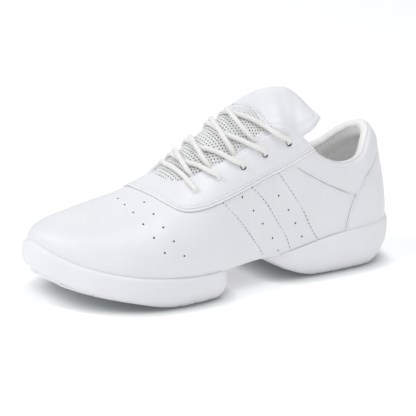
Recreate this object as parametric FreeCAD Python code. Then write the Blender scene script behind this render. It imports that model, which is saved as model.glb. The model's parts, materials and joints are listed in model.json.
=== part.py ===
import FreeCAD, Part
import math
import os
from bisect import bisect_right

# Split-sole cheer sneaker, left foot, EU 38.  Millimetres.
# +X toe, +Y wearer's left (outer side), +Z up.
# Origin: centre of the heel unit's flat ground contact.
#
# Tables and builders measure x from the back of the heel; vec() moves it to the origin.
# The upper is drawn on a surface with two coordinates:
#   around  0 at the heel centre, +1 at the toe tip by the outer side, -1 by the inner side
#   rise    0 at the feather line (where upper meets sole), 1 on the ridge
# Offsets from that surface are positive outward.

# ---- driving dimensions --------------------------------------------------------------------
HEEL_CONTACT_X = 50.0      # back of the heel to the centre of the heel contact
OVERALL_LENGTH = 262.0     # back of the heel to the toe tip of the sole
LEATHER = 1.3
EYESTAY_UP = 0.9           # eyestay stands this far above the upper
LINING = 0.7
COUNTER = 1.1              # heel counter thickness
PUFF = 0.7                 # toe puff thickness
FOAM_DEPTH = 7.6           # collar padding reaches this far inside the upper's face
SOLE_INSET = 3.0           # feather line sits this far inside the sole's edge
OUTSOLE = 2.0
BOARD = 1.4
SOCKLINER_TOP = 3.4        # above the board's top
LACE_RADIUS = 1.5
CORD_RADIUS = 0.55
CORD_CENTRE_UP = 0.68      # centre of the eyestay cord above the upper
CORD_CENTRE_OUT = 0.95     # and outside the eyestay's edge
EYELET_RADIUS = 2.3
EYELET_CUT_DEPTH = 6.0     # eyelet cutter reaches this far each side of the upper's face
TOE_SPLIT_X = 206.0        # cut between the forefoot and toe sole units
SEAM_GAP = 0.0022          # half the gap between neighbouring panels, in around and rise
LOWEST_RISE = 0.006        # bottom edge of the panels
FACE, BACK = 0.0, -LEATHER  # offsets of the leather's two faces
SIDES = ((1, "lateral"), (-1, "medial"))

os.makedirs("parts", exist_ok=True)


def save(name, *shapes):
    """Write one piece; several shapes go into one compound."""
    shape = shapes[0] if len(shapes) == 1 else Part.makeCompound(list(shapes))
    shape.exportStep("parts/%s.step" % name)


# ---- curves through points -----------------------------------------------------------------
class Spline:
    """Cubic y(x) through points, held level beyond its ends; monotone avoids overshoot."""

    def __init__(self, xs, ys, monotone=True):
        count = len(xs)
        self.xs, self.ys = list(xs), list(ys)
        span = [xs[i + 1] - xs[i] for i in range(count - 1)]
        rate = [(ys[i + 1] - ys[i]) / span[i] for i in range(count - 1)]
        slope = [0.0] * count
        for i in range(1, count - 1):
            before, after = rate[i - 1], rate[i]
            if not monotone:
                slope[i] = (before * span[i] + after * span[i - 1]) / (span[i - 1] + span[i])
            elif before * after > 0:
                weight_before = 2 * span[i] + span[i - 1]
                weight_after = span[i] + 2 * span[i - 1]
                slope[i] = ((weight_before + weight_after)
                            / (weight_before / before + weight_after / after))
        slope[0], slope[-1] = rate[0], rate[-1]
        self.slope, self.span = slope, span

    def __call__(self, x):
        if x <= self.xs[0]:
            return self.ys[0]
        if x >= self.xs[-1]:
            return self.ys[-1]
        i = min(bisect_right(self.xs, x) - 1, len(self.span) - 1)
        span = self.span[i]
        part = (x - self.xs[i]) / span
        rest = 1 - part
        return (self.ys[i] * (1 + 2 * part) * rest ** 2
                + self.slope[i] * span * part * rest ** 2
                + self.ys[i + 1] * part * part * (3 - 2 * part)
                + self.slope[i + 1] * span * part * part * (part - 1))


class ClosedCurve:
    """Closed plan curve: periodic C2 cubic through the points, parameter 0..1."""

    def __init__(self, points):
        self.count = len(points)
        self.points = points + [points[0]]
        knots = [0.0]
        for start, end in zip(self.points, self.points[1:]):
            knots.append(knots[-1] + math.hypot(end[0] - start[0], end[1] - start[1]) ** 0.5)
        self.knots = [knot / knots[-1] for knot in knots]
        self.bend = [self.second_derivatives([p[k] for p in points]) for k in range(2)]

    def second_derivatives(self, values):
        count, knots = self.count, self.knots
        span = [knots[i + 1] - knots[i] for i in range(count)]
        rows = [[0.0] * count for _ in range(count)]
        right = [0.0] * count
        for i in range(count):
            rows[i][(i - 1) % count] += span[i - 1] / 6
            rows[i][i] += (span[i - 1] + span[i]) / 3
            rows[i][(i + 1) % count] += span[i] / 6
            right[i] = ((values[(i + 1) % count] - values[i]) / span[i]
                        - (values[i] - values[i - 1]) / span[i - 1])
        # Gaussian elimination with row pivoting, then back substitution
        for col in range(count):
            pivot = max(range(col, count), key=lambda r: abs(rows[r][col]))
            rows[col], rows[pivot] = rows[pivot], rows[col]
            right[col], right[pivot] = right[pivot], right[col]
            for row in range(col + 1, count):
                factor = rows[row][col] / rows[col][col]
                if factor:
                    for k in range(col, count):
                        rows[row][k] -= factor * rows[col][k]
                    right[row] -= factor * right[col]
        result = [0.0] * count
        for i in range(count - 1, -1, -1):
            known = sum(rows[i][k] * result[k] for k in range(i + 1, count))
            result[i] = (right[i] - known) / rows[i][i]
        return result + [result[0]]

    def __call__(self, param):
        param %= 1.0
        i = min(bisect_right(self.knots, param) - 1, self.count - 1)
        span = self.knots[i + 1] - self.knots[i]
        near = (self.knots[i + 1] - param) / span
        far = (param - self.knots[i]) / span
        return [near * self.points[i][k] + far * self.points[i + 1][k]
                + ((near ** 3 - near) * self.bend[k][i]
                   + (far ** 3 - far) * self.bend[k][i + 1]) * span * span / 6
                for k in range(2)]


def spaced(start, end, count):
    return [start + (end - start) * i / (count - 1.0) for i in range(count)]


def subdivided(stations, longest):
    """Stations with even steps added so that none is longer than given."""
    out = []
    for start, end in zip(stations, stations[1:]):
        count = max(1, int(math.ceil((end - start) / longest)))
        out += [start + (end - start) * i / count for i in range(count)]
    return out + [stations[-1]]


# ---- small vector helpers on (x, y, z) -----------------------------------------------------
def sub(a, b):
    return (a[0] - b[0], a[1] - b[1], a[2] - b[2])


def dot(a, b):
    return a[0] * b[0] + a[1] * b[1] + a[2] * b[2]


def cross(a, b):
    return (a[1] * b[2] - a[2] * b[1], a[2] * b[0] - a[0] * b[2], a[0] * b[1] - a[1] * b[0])


def unit(a):
    length = math.sqrt(dot(a, a)) or 1.0
    return (a[0] / length, a[1] / length, a[2] / length)


def moved(point, direction, distance):
    return tuple(point[k] + direction[k] * distance for k in range(3))


def vec(point):
    return FreeCAD.Vector(point[0] - HEEL_CONTACT_X, point[1], point[2])


# ---- the last: sole outline and side profile -----------------------------------------------
# Sole outline in plan, (x, y): outer side heel to toe, tip, inner side toe to heel
OUTER_EDGE = [
    (0, 0), (1.5, 9.5), (7, 19.5), (17, 27), (30, 31.5), (45, 33.3), (62, 34), (80, 34),
    (98, 34.2), (115, 35.5), (135, 38.8), (155, 43.2), (172, 46), (187, 46.8), (202, 45.6),
    (217, 41.5), (230, 34.8), (241, 26.5), (250, 16.5), (256.5, 6.5), (260.5, -3)]
TIP = (OVERALL_LENGTH, -11)
INNER_EDGE = [
    (260.8, -19.5), (257, -27), (250, -34), (241, -39.5), (229, -44), (216, -46.5),
    (202, -47.5), (187, -46.5), (171, -43), (155, -37.5), (135, -31), (115, -27.5),
    (98, -27.5), (80, -29.5), (62, -31.5), (45, -32.5), (30, -31), (17, -27), (7, -19.5),
    (1.5, -9.5)]
SOLE_OUTLINE = ClosedCurve(OUTER_EDGE + [TIP] + INNER_EDGE)
TIP_PARAM = SOLE_OUTLINE.knots[len(OUTER_EDGE)]


def edge_spline(points):
    return Spline([p[0] for p in points], [p[1] for p in points])


outer_y = edge_spline(OUTER_EDGE + [TIP])
inner_y = edge_spline([(0.0, 0.0)] + INNER_EDGE[::-1] + [TIP])

# Ridge: its two ends in x, its y, and its height; then the feather line's height, all over x
RIDGE_BACK, RIDGE_FRONT = 36.0, 214.0
RIDGE_BLEND = 7.0          # softness of the turn from the ridge into its ends
ridge_y = Spline([0, 36, 80, 100, 120, 160, 200, 214, 262],
                 [0, 0, -2.5, -4, -5, -5.5, -6, -7, -11], monotone=False)
ridge_z = Spline([36, 70, 95, 107, 122, 137, 152, 166, 180, 195, 214, 235, 262],
                 [118, 121, 117, 112, 103.5, 94, 85, 76.5, 69, 62.5, 54, 43.5, 33],
                 monotone=False)
feather_z = Spline(
    [0, 2, 6, 14, 30, 60, 85, 97, 108, 120, 135, 160, 200, 225, 245, 256, 262],
    [34, 32.5, 30, 28, 27.5, 25.5, 22.5, 20, 18.5, 18.5, 18, 17, 19.5, 22.5, 26.5, 30.5, 33.5])

# Control points of the upper's cross-section over x: bulge in mm, the rest as fractions
SECTION_X = [0, 15, 40, 80, 110, 140, 180, 215, 240, 262]
bulge = Spline(SECTION_X, [0.8, 0.8, 1.2, 2, 3.5, 4.5, 4.5, 3.5, 2.0, 1.0])
bulge_height = Spline(SECTION_X, [.25, .25, .25, .28, .30, .32, .33, .36, .38, .40])
shoulder_reach = Spline(SECTION_X, [.66, .67, .84, .95, .93, .92, .91, .91, .90, .90])
shoulder_height = Spline(SECTION_X, [.60, .60, .65, .70, .76, .79, .82, .85, .86, .88])
crown_reach = Spline(SECTION_X, [.48, .48, .56, .58, .52, .50, .50, .50, .50, .52])
QUARTIC = [1, 4, 6, 4, 1]


def soft_positive(x, blend):
    """max(x, 0) with a rounded corner."""
    return x if x / blend > 40 else blend * math.log1p(math.exp(x / blend))


def ridge_x(x):
    """The ridge station that an outline point at x looks to."""
    ahead = soft_positive(x - RIDGE_BACK, RIDGE_BLEND)
    return RIDGE_FRONT - soft_positive(RIDGE_FRONT - RIDGE_BACK - ahead, RIDGE_BLEND)


def outline(around):
    """Outline point; both sides share the same x at the same |around|."""
    x, y = SOLE_OUTLINE(abs(around) * TIP_PARAM)
    if -.99999 < around < 0:
        low, high = TIP_PARAM, 1.0
        for _ in range(44):
            middle = (low + high) / 2
            if SOLE_OUTLINE(middle)[0] > x:
                low = middle
            else:
                high = middle
        y = SOLE_OUTLINE((low + high) / 2)[1]
    return x, y


section_cache = {}


def section(around):
    """Upright section: ridge x, y; outward direction x, y; (reach, z) controls; ridge slope."""
    around = round(around, 7)
    if around not in section_cache:
        x, y = outline(around)
        centre_x = ridge_x(x)
        centre_y = ridge_y(centre_x)
        out_x, out_y = x - centre_x, y - centre_y
        distance = math.hypot(out_x, out_y)
        out_x /= distance
        out_y /= distance
        reach = distance - SOLE_INSET
        bottom, top = feather_z(x), ridge_z(centre_x)
        height = top - bottom
        slope = ridge_z(centre_x + .5) - ridge_z(centre_x - .5)
        crown = crown_reach(x) * reach
        controls = [(reach, bottom),
                    (reach + bulge(x), bottom + bulge_height(x) * height),
                    (reach * shoulder_reach(x), bottom + shoulder_height(x) * height),
                    (crown, top + slope * out_x * crown * 0.9),
                    (0, top)]
        section_cache[around] = (centre_x, centre_y, out_x, out_y, controls, slope)
    return section_cache[around]


def surface_point(around, rise):
    """Point of the upper's outer face."""
    centre_x, centre_y, out_x, out_y, controls, _ = section(around)
    weights = [(1 - rise) ** (4 - i) * rise ** i * QUARTIC[i] for i in range(5)]
    reach = sum(weights[i] * controls[i][0] for i in range(5))
    z = sum(weights[i] * controls[i][1] for i in range(5))
    return (centre_x + out_x * reach, centre_y + out_y * reach, z)


def in_section_plane(normal, around):
    _, _, out_x, out_y, _, _ = section(around)
    outward = normal[0] * out_x + normal[1] * out_y
    return unit((outward * out_x, outward * out_y, normal[2]))


def surface_normal(around, rise):
    step, rise_step, ridge_zone = .004, .01, .95
    limit = 1 - step
    at_tip = abs(around) > limit
    near_around = math.copysign(limit, around) if at_tip else around
    near_rise = min(max(rise, .01), .975)
    up = sub(surface_point(near_around, near_rise + rise_step),
             surface_point(near_around, near_rise - rise_step))
    onward = sub(surface_point(near_around + step, near_rise),
                 surface_point(near_around - step, near_rise))
    normal = unit(cross(up, onward))
    if at_tip and rise < ridge_zone:      # toe centre line: keep to the tip's own plane
        normal = in_section_plane(normal, around)
    if rise > ridge_zone:                 # turn to the ridge's own normal, shared by both sides
        ridge = unit((-section(around)[5], 0.0, 1.0))
        blend = (rise - ridge_zone) / .05
        normal = unit(tuple(normal[k] * (1 - blend) + ridge[k] * blend for k in range(3)))
    return normal


def offset_point(around, rise, offset):
    return moved(surface_point(around, rise), surface_normal(around, rise), offset)


def flat_offset_point(around, rise, offset):
    """Offset square to the face, taken within the upright plane of the section."""
    normal = surface_normal(around, rise)
    direction = in_section_plane(normal, around)
    distance = offset / max(.6, dot(direction, normal))
    return moved(surface_point(around, rise), direction, distance)


# ---- solid builders ------------------------------------------------------------------------
def outward(solid):
    if solid.Volume < 0:
        solid.reverse()
    return solid


def ruled_loft(loops):
    """Ruled solid through closed polygons."""
    wires = [Part.makePolygon([vec(p) for p in loop + loop[:1]]) for loop in loops]
    return outward(Part.makeLoft(wires, True, True))


def closed_solid(faces):
    sewn = Part.Compound(faces).copy()
    sewn.sewShape(0.02)
    solid = Part.makeSolid(sewn.Shells[0] if sewn.Shells else Part.makeShell(faces))
    if not solid.isValid() or not solid.Solids:
        solid = Part.makeSolid(Part.makeShell(faces))
    return outward(solid)


def skin(outer_grid, inner_grid):
    """Closed solid between two grids of points that share one layout."""
    surfaces = []
    for grid in (outer_grid, inner_grid):
        surface = Part.BSplineSurface()
        surface.interpolate([[vec(p) for p in row] for row in grid])
        surfaces.append(surface)
    faces = [surface.toShape() for surface in surfaces]
    borders = []
    for surface in surfaces:
        u_min, u_max, v_min, v_max = surface.bounds()
        borders.append((surface.uIso(u_min), surface.uIso(u_max),
                        surface.vIso(v_min), surface.vIso(v_max)))
    for first, second in zip(*borders):
        faces.append(Part.makeRuledSurface(first.toShape(), second.toShape()))
    return closed_solid(faces)


def layer(rows, outer, inner):
    """Sheet over rows of (around, rise) between two offsets."""
    return skin(*[[[offset_point(p[0], p[1], offset) for p in row] for row in rows]
                  for offset in (outer, inner)])


def curve(points):
    """Smooth curve through (around, rise) pairs, parameter 0..1."""
    params = [0.0]
    for a, b in zip(points, points[1:]):
        params.append(params[-1] + math.hypot((b[0] - a[0]) * 2.2, b[1] - a[1]))
    params = [value / params[-1] for value in params]
    around = Spline(params, [p[0] for p in points], monotone=False)
    rise = Spline(params, [p[1] for p in points], monotone=False)
    return lambda param: (around(param), rise(param))


def panel(start_curve, end_curve, rows, columns, side, outer=FACE):
    """Leather patch of the upper between two curves."""
    grid = []
    for a in spaced(0, 1, rows):
        p, q = start_curve(a), end_curve(a)
        grid.append([(side * (p[0] + (q[0] - p[0]) * b), p[1] + (q[1] - p[1]) * b)
                     for b in spaced(0, 1, columns)])
    return layer(grid, outer, BACK)


def tube(points, radius, step):
    """Round cord along a smooth curve, with rotation-minimising rings and flat ends."""
    sides = 8
    params = [0.0]
    for a, b in zip(points, points[1:]):
        params.append(params[-1] + math.dist(a, b) ** .5)
    path = [Spline(params, [p[k] for p in points], monotone=False) for k in range(3)]
    centres = []
    for i in range(len(points) - 1):
        count = max(2, int(math.dist(points[i], points[i + 1]) / step))
        for j in range(count):
            param = params[i] + (params[i + 1] - params[i]) * j / count
            centres.append(tuple(axis(param) for axis in path))
    centres.append(points[-1])
    across = (0.0, 0.0, 1.0)
    wires = []
    for i, centre in enumerate(centres):
        tangent = unit(sub(centres[min(i + 1, len(centres) - 1)], centres[max(i - 1, 0)]))
        across = unit(moved(across, tangent, -dot(across, tangent)))
        other = cross(tangent, across)
        ring = []
        for j in range(sides):
            angle = 2 * math.pi * j / sides
            ring.append(tuple(centre[k] + radius * (math.cos(angle) * across[k]
                                                    + math.sin(angle) * other[k])
                              for k in range(3)))
        loop = Part.BSplineCurve()
        loop.interpolate(Points=[vec(p) for p in ring], PeriodicFlag=True)
        wires.append(Part.Wire([loop.toShape()]))
    return outward(Part.makeLoft(wires, True, True))


def merge(solids):
    """One fused solid, or a compound where the fuse doesn't give a sound one."""
    try:        # guards against the boolean failing on the thin curved sheets
        fused = solids[0].multiFuse(solids[1:], 0.03)
        change = abs(fused.Volume - sum(s.Volume for s in solids))
        if len(fused.Solids) == 1 and fused.isValid() and change < .02 * fused.Volume:
            return fused.Solids[0]
    except Exception:
        pass
    return Part.makeCompound(solids)


# ---- sole units ----------------------------------------------------------------------------
# Bottom line of the heel unit and of the forefoot and toe units: height over x
heel_bottom = Spline([0, 6, 15, 21, 26, 30, 70, 75, 82, 92, 102, 110, 118],
                     [14, 8.6, 3.6, 1.2, .1, 0, 0, .25, 1.6, 4.8, 8.9, 13.0, 17.2])
fore_bottom = Spline([143, 145, 148, 152, 155, 185, 192, 200, 215, 240, 250, 262],
                     [13.0, 5.8, 2.0, .3, 0, 0, .35, 1.3, 4.2, 9.6, 12.6, 18.5])

# Share of the outline's width kept where each unit narrows towards the arch
heel_width = Spline([90, 99, 106, 111, 115, 118], [1.0, .95, .84, .68, .46, .22],
                    monotone=False)
fore_width = Spline([143, 145, 148, 152, 158], [.70, .84, .93, .98, 1.0], monotone=False)


def full_width(x):
    return 1.0


# Stations of the midsoles, x
UNIT_GAP = 0.25            # half the gap at the toe split
HEEL_STATIONS = [1.0, 2.2, 4.5, 8, 13, 20, 30, 42, 55, 68, 80, 90, 99, 106, 111, 115, 117.2]
FORE_STATIONS = [143.6, 145, 147.5, 151, 156, 164, 174, 186, 196, TOE_SPLIT_X - UNIT_GAP]
TOE_STATIONS = [TOE_SPLIT_X + UNIT_GAP, 214, 222, 230, 238, 245, 251, 255.5, 258.5, 260.3,
                261.4]

# Tread pads: x start, x end, level underneath
TREAD_END_GAP = 0.5        # from the toe split to the nearest pad
HEEL_TREADS = [
    (8, 15.4, False), (16.6, 24.4, False), (25.6, 34.4, False),
    (35.6, 44.4, True), (45.6, 54.4, True), (55.6, 64.4, True),
    (65.6, 74.4, False), (75.6, 84, False), (85.2, 97, False)]
FORE_TREADS = [
    (149, 154.4, False), (155.4, 164, True), (165.3, 173.9, True), (175.2, 183.8, True),
    (185.2, 194, False), (195.2, TOE_SPLIT_X - TREAD_END_GAP, False)]
TOE_TREADS = [
    (TOE_SPLIT_X + TREAD_END_GAP, 215, False), (216.2, 225, False), (226.2, 236, False),
    (237.2, 250, False)]


def centre_and_half(x):
    """Middle y and half width of the sole outline."""
    return (outer_y(x) + inner_y(x)) / 2, (outer_y(x) - inner_y(x)) / 2


def sole_loft(stations, profile, width):
    """Loft of sections; profile(x, half) lists (half width, z) from the top down."""
    loops = []
    for x in subdivided(stations, 4.0):
        middle, half = centre_and_half(x)
        points = profile(x, half * width(x))
        # narrow sections keep a little width and their order
        points = [(max(reach, 1.2 + .2 * (len(points) - i)), z)
                  for i, (reach, z) in enumerate(points)]
        loops.append([(x, middle + reach, z) for reach, z in points]
                     + [(x, middle - reach, z) for reach, z in reversed(points)])
    return ruled_loft(loops)


def midsole(stations, bottom_line, inset, width=full_width):
    """Sole body from the tread up to the feather line."""
    def profile(x, half):
        top, bottom = feather_z(x) - .05, bottom_line(x) + OUTSOLE
        height = top - bottom
        return [(half - 2.6, top), (half - .7, top - .12 * height),
                (half, top - .32 * height), (half - 1.2, bottom + .35 * height),
                (half - inset, bottom + .02 * height), (half - inset - 4, bottom)]
    return sole_loft(stations, profile, width)


def curved_tread(start, end, bottom_line, width):
    """Tread pad that follows the unit's bottom line."""
    inset, thickness = 6.5, OUTSOLE - .2

    def profile(x, half):
        bottom = bottom_line(x)
        return [(half - inset - .1, bottom + thickness),
                (half - inset - .4, bottom + .3 * thickness),
                (half - inset - 1.6, bottom)]
    count = max(3, int((end - start) / 3) + 1)
    return sole_loft(spaced(start, end, count), profile, width)


def level_tread(start, end):
    """Tread pad on the ground: flat and level underneath."""
    inset, thickness = 6.7, OUTSOLE - .05
    outer, inner = [], []
    for x in spaced(start, end, 9):
        middle, half = centre_and_half(x)
        outer.append(vec((x, middle + (half - inset), 0.0)))
        inner.append(vec((x, middle - (half - inset), 0.0)))
    loop = outer + inner[::-1]
    face = Part.Face(Part.makePolygon(loop + loop[:1]))
    return face.extrude(FreeCAD.Vector(0, 0, thickness))


def outsole(treads, bottom_line, width=full_width):
    return [level_tread(start, end) if level else curved_tread(start, end, bottom_line, width)
            for start, end, level in treads]


save("heel_midsole", midsole(HEEL_STATIONS, heel_bottom, 5.5, heel_width))
save("forefoot_midsole", midsole(FORE_STATIONS, fore_bottom, 5.5, fore_width))
save("toe_midsole", midsole(TOE_STATIONS, fore_bottom, 5.0))
save("heel_outsole", *outsole(HEEL_TREADS, heel_bottom, heel_width))
save("forefoot_outsole", *outsole(FORE_TREADS, fore_bottom, fore_width))
save("toe_outsole", *outsole(TOE_TREADS, fore_bottom))


# ---- insole boards, removable sockliner and arch gusset ------------------------------------
def plate(stations, inset, first_z, second_z):
    """Sheet inside the outline between two heights above the feather line."""
    loops = []
    for x in subdivided(stations, 6.0):
        middle, half = centre_and_half(x)
        half -= inset
        first, second = feather_z(x) + first_z, feather_z(x) + second_z
        loops.append([(x, middle + half, first), (x, middle + half, second),
                      (x, middle - half, second), (x, middle - half, first)])
    return ruled_loft(loops)


BOARD_GAP = 0.3            # from the toe split to each board
BOARD_LIFT = 0.03          # clearance under the boards
GUSSET_TOP, GUSSET = -0.1, 1.1

# Piece: x stations, inset from the outline, first and second height above the feather line
PLATES = {
    "heel_insole_board": (
        [8.5, 11, 15, 22, 32, 45, 60, 75, 90, 100, 108, 114], 7.4, BOARD_LIFT, BOARD),
    "arch_insole_board": ([116, 122, 130, 138, 142.5], 8.5, BOARD_LIFT, .9),
    "forefoot_insole_board": (
        [145, 152, 162, 175, 188, 198, TOE_SPLIT_X - BOARD_GAP], 6.6, BOARD_LIFT, BOARD),
    "toe_insole_board": (
        [TOE_SPLIT_X + BOARD_GAP, 214, 224, 234, 243, 249], 8.2, BOARD_LIFT, BOARD),
    "sockliner": (
        [11, 14, 19, 27, 38, 52, 68, 84, 98, 112, 126, 140, 155, 170, 185, 200, 214, 226,
         237, 244, 248], 9.2, BOARD + .1, BOARD + SOCKLINER_TOP),
    # leather that closes the waist between the two sole units
    "arch_gusset": (spaced(118.2, 142.8, 9), 5.2, GUSSET_TOP, GUSSET_TOP - GUSSET),
}
for name, dimensions in PLATES.items():
    save(name, plate(*dimensions))

# ---- feature curves of the upper, (around, rise) -------------------------------------------
EYESTAY_EDGE = [           # lower edge, collar to vamp point
    (.318, .480), (.356, .452), (.394, .433), (.430, .430), (.466, .433), (.500, .446),
    (.536, .467), (.560, .485), (.585, .512), (.606, .545), (.622, .592), (.632, .650),
    (.640, .720), (.646, .800), (.651, .880), (.655, 1.0)]
THROAT = [                 # upper edge of the eyestay, collar to ridge
    (.345, .575), (.360, .628), (.385, .640), (.406, .630), (.438, .640), (.478, .660),
    (.504, .680), (.540, .725), (.565, .752), (.586, .785), (.597, .830), (.603, .885),
    (.606, 1.0)]
COLLAR_TOP = [             # eyestay to heel
    (.318, .478), (.302, .442), (.280, .408), (.258, .390), (.236, .388), (.212, .398),
    (.186, .425), (.162, .468), (.134, .512), (.100, .540), (.05, .556)]
COLLAR_SEAM = [(.358, .425), (.325, .378), (.290, .330), (.250, .280)]
COLLAR_HEEL_EDGE = [       # continues the collar panel's lower edge to the heel
    (.216, .250), (.186, .306), (.151, .361), (.111, .414), (.071, .451), (.036, .466),
    (.004, .471)]
HEEL_SEAM = [
    (.240, .0), (.236, .055), (.222, .150), (.212, .242), (.185, .300), (.150, .355),
    (.110, .408), (.070, .445), (.035, .46), (.0, .465)]
QUARTER_REAR = [           # rear and upper edge of the rear quarter
    (.2425, .006), (.2388, .055), (.2252, .152), (.2165, .234), (.252, .273), (.291, .322),
    (.326, .369), (.356, .412)]
# Side seams from the feather line up, front to back
FRONT_SEAM = [(.436, .0), (.446, .050), (.470, .145), (.494, .250), (.518, .365), (.536, .462)]
MIDDLE_SEAM = [(.368, .0), (.382, .083), (.408, .183), (.440, .310), (.470, .430)]
REAR_SEAM = [(.303, .0), (.320, .070), (.348, .208), (.378, .320), (.406, .428)]
EYELETS = [(.578, .625), (.528, .592), (.478, .558), (.430, .542), (.374, .542)]  # toe first


def shifted(points, by_around, by_rise):
    return [(p[0] + by_around, p[1] + by_rise) for p in points]


def seam_edge(seam, by_around, by_rise):
    """Panel edge beside a seam, stopped at the panels' bottom edge."""
    return curve([(around, max(rise, LOWEST_RISE))
                  for around, rise in shifted(seam, by_around, by_rise)])


# ---- vamp, toe puff and vamp lining --------------------------------------------------------
VAMP_SPLIT = .662          # the vamp's side and front patches meet here
VAMP_FRONT = [VAMP_SPLIT, .673, .69, .71, .735, .76, .79, .82, .855, .89, .92, .95, .975, 1.0]
PUFF_STATIONS = [.80, .82, .845, .87, .895, .92, .945, .97, .985, 1.0]
VAMP_LINING_STATIONS = [.675, .700, .72, .745, .77, .80, .83, .86, .89, .92, .95, .975, 1.0]


def vamp_side_rows(side):
    """Rows of the vamp beside the eyestay, from the front seam to the vamp point."""
    seam = seam_edge(FRONT_SEAM, SEAM_GAP, 0)
    eyestay = curve([(p[0] + .0055 * min(i / 3.0, 1), p[1] - .009)
                     for i, p in enumerate(EYESTAY_EDGE[6:])])
    foot_start = .438
    rows = []
    for a in spaced(0, 1, 11):
        end = eyestay(a)
        foot = foot_start + (VAMP_SPLIT - foot_start) * a
        row = []
        for b in spaced(0, 1, 13):
            on_seam = seam(b)
            if a == 0:
                around, rise = on_seam
            elif a == 1:
                around, rise = VAMP_SPLIT, LOWEST_RISE + (1 - LOWEST_RISE) * b
            else:
                pull = (1 - a) ** 1.5 * (1 - b ** 3)      # towards the seam's shape
                around = (foot + (end[0] - foot) * b) * (1 - pull) + on_seam[0] * pull
                rise = ((LOWEST_RISE + (end[1] - LOWEST_RISE) * b) * (1 - pull)
                        + on_seam[1] * pull)
            row.append((side * around, rise))
        rows.append(row)
    return rows


def toe_rows(side, stations, low, high, columns):
    return [[(side * around, rise) for rise in spaced(low, high, columns)]
            for around in stations]


def vamp():
    patches = []
    for side, _ in SIDES:
        patches.append(layer(vamp_side_rows(side), FACE, BACK))
        patches.append(layer(toe_rows(side, VAMP_FRONT, LOWEST_RISE, 1.0, 13), FACE, BACK))
    return merge(patches)


def toe_layer(stations, low, high, outer, thickness):
    return merge([layer(toe_rows(side, stations, low, high, 9), outer, outer - thickness)
                  for side, _ in SIDES])


save("vamp", vamp())
save("toe_puff", toe_layer(PUFF_STATIONS, .02, .62, BACK - .15, PUFF))
save("vamp_lining", toe_layer(VAMP_LINING_STATIONS, .085, 1.0, BACK - 1.0, LINING))

# ---- side panels, eyestay and collar -------------------------------------------------------
eyestay_edge = curve(shifted(EYESTAY_EDGE, .0005, .001))
throat = curve(THROAT)

# Lower and upper edge of the collar padding: rise over around
padding_low = Spline(
    [0, .035, .07, .11, .15, .185, .212, .25, .29, .325, .358],
    [.480, .475, .462, .425, .373, .318, .262, .298, .345, .392, .432])
padding_high = Spline(
    [0, .05, .10, .134, .162, .186, .212, .236, .258, .280, .302, .318, .345],
    [.545, .541, .526, .498, .455, .412, .386, .377, .379, .397, .431, .462, .448])


def eyestay_half(side):
    """Raised overlay from the collar to the vamp point, meeting its twin on the ridge."""
    half = panel(eyestay_edge, throat, 25, 6, side, outer=EYESTAY_UP)
    for around, rise in EYELETS:
        start = offset_point(side * around, rise, -EYELET_CUT_DEPTH)
        axis = FreeCAD.Vector(*surface_normal(side * around, rise))
        half = half.cut(Part.makeCylinder(EYELET_RADIUS, 2 * EYELET_CUT_DEPTH,
                                          vec(start), axis))
    return half


def eyestay_cord(side):
    """Cord that runs just outside the eyestay's lower edge."""
    def frame(a):
        (around, rise), (next_around, next_rise) = eyestay_edge(a - .01), eyestay_edge(a + .01)
        here = offset_point(side * around, rise, CORD_CENTRE_UP)
        ahead = offset_point(side * next_around, next_rise, CORD_CENTRE_UP)
        across = unit(cross(sub(ahead, here), surface_normal(side * around, rise)))
        return around, rise, here, ahead, across

    # one probe at mid-length finds which way leads off the eyestay
    around, rise, here, _, across = frame(.5)
    up = sub(offset_point(side * around, min(rise + .04, 1), CORD_CENTRE_UP), here)
    sign = -1.0 if dot(across, up) > 0 else 1.0
    path = []
    for a in spaced(.02, .985, 26):
        _, _, here, ahead, across = frame(a)
        middle = moved(here, sub(ahead, here), .5)
        path.append(moved(middle, across, sign * CORD_CENTRE_OUT))
    return tube(path, CORD_RADIUS, 3.0)


def collar_panel(side):
    low = shifted(COLLAR_SEAM, 0, .004) + COLLAR_HEEL_EDGE
    high = shifted(COLLAR_TOP, 0, -.004) + [(.004, .556)]
    return panel(curve(low), curve(high), 21, 5, side)


def foam_back(b):
    """Offset of the padding's inner face, b 0..1 from its lower to its upper edge."""
    return -(FOAM_DEPTH - 1.2) + 4.0 * abs(2 * b - 1) ** 4


def collar_padding(side, outer, inner):
    """Ruled loft over flat upright ribs; outer and inner give the offset at b."""
    loops = []
    for around in spaced(.006, .345, 27):
        low, high = padding_low(around), padding_high(around)
        points = [(low + (high - low) * b, b) for b in spaced(0, 1, 8)]
        loops.append(
            [flat_offset_point(side * around, rise, outer(b)) for rise, b in points]
            + [flat_offset_point(side * around, rise, inner(b))
               for rise, b in reversed(points)])
    return ruled_loft(loops)


for side, tag in SIDES:
    save("front_stripe_" + tag, panel(seam_edge(MIDDLE_SEAM, SEAM_GAP, -.004),
                                      seam_edge(FRONT_SEAM, -SEAM_GAP, -.008), 9, 5, side))
    save("rear_stripe_" + tag, panel(seam_edge(REAR_SEAM, SEAM_GAP, -.004),
                                     seam_edge(MIDDLE_SEAM, -SEAM_GAP, -.004), 9, 5, side))
    save("rear_quarter_" + tag, panel(curve(QUARTER_REAR),
                                      seam_edge(REAR_SEAM, -SEAM_GAP, -.004), 13, 5, side))
    save("collar_panel_" + tag, collar_panel(side))
    save("collar_foam_" + tag, collar_padding(side, lambda b: BACK - .06, foam_back))
    save("collar_lining_" + tag, collar_padding(side, lambda b: foam_back(b) - .08,
                                                lambda b: foam_back(b) - .08 - LINING))
save("eyestay", merge([eyestay_half(side) for side, _ in SIDES]))
save("eyestay_cord", *[eyestay_cord(side) for side, _ in SIDES])

# ---- heel panel, counter and lining, each wrapping the heel in one piece -------------------
heel_seam = curve(HEEL_SEAM)


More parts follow.
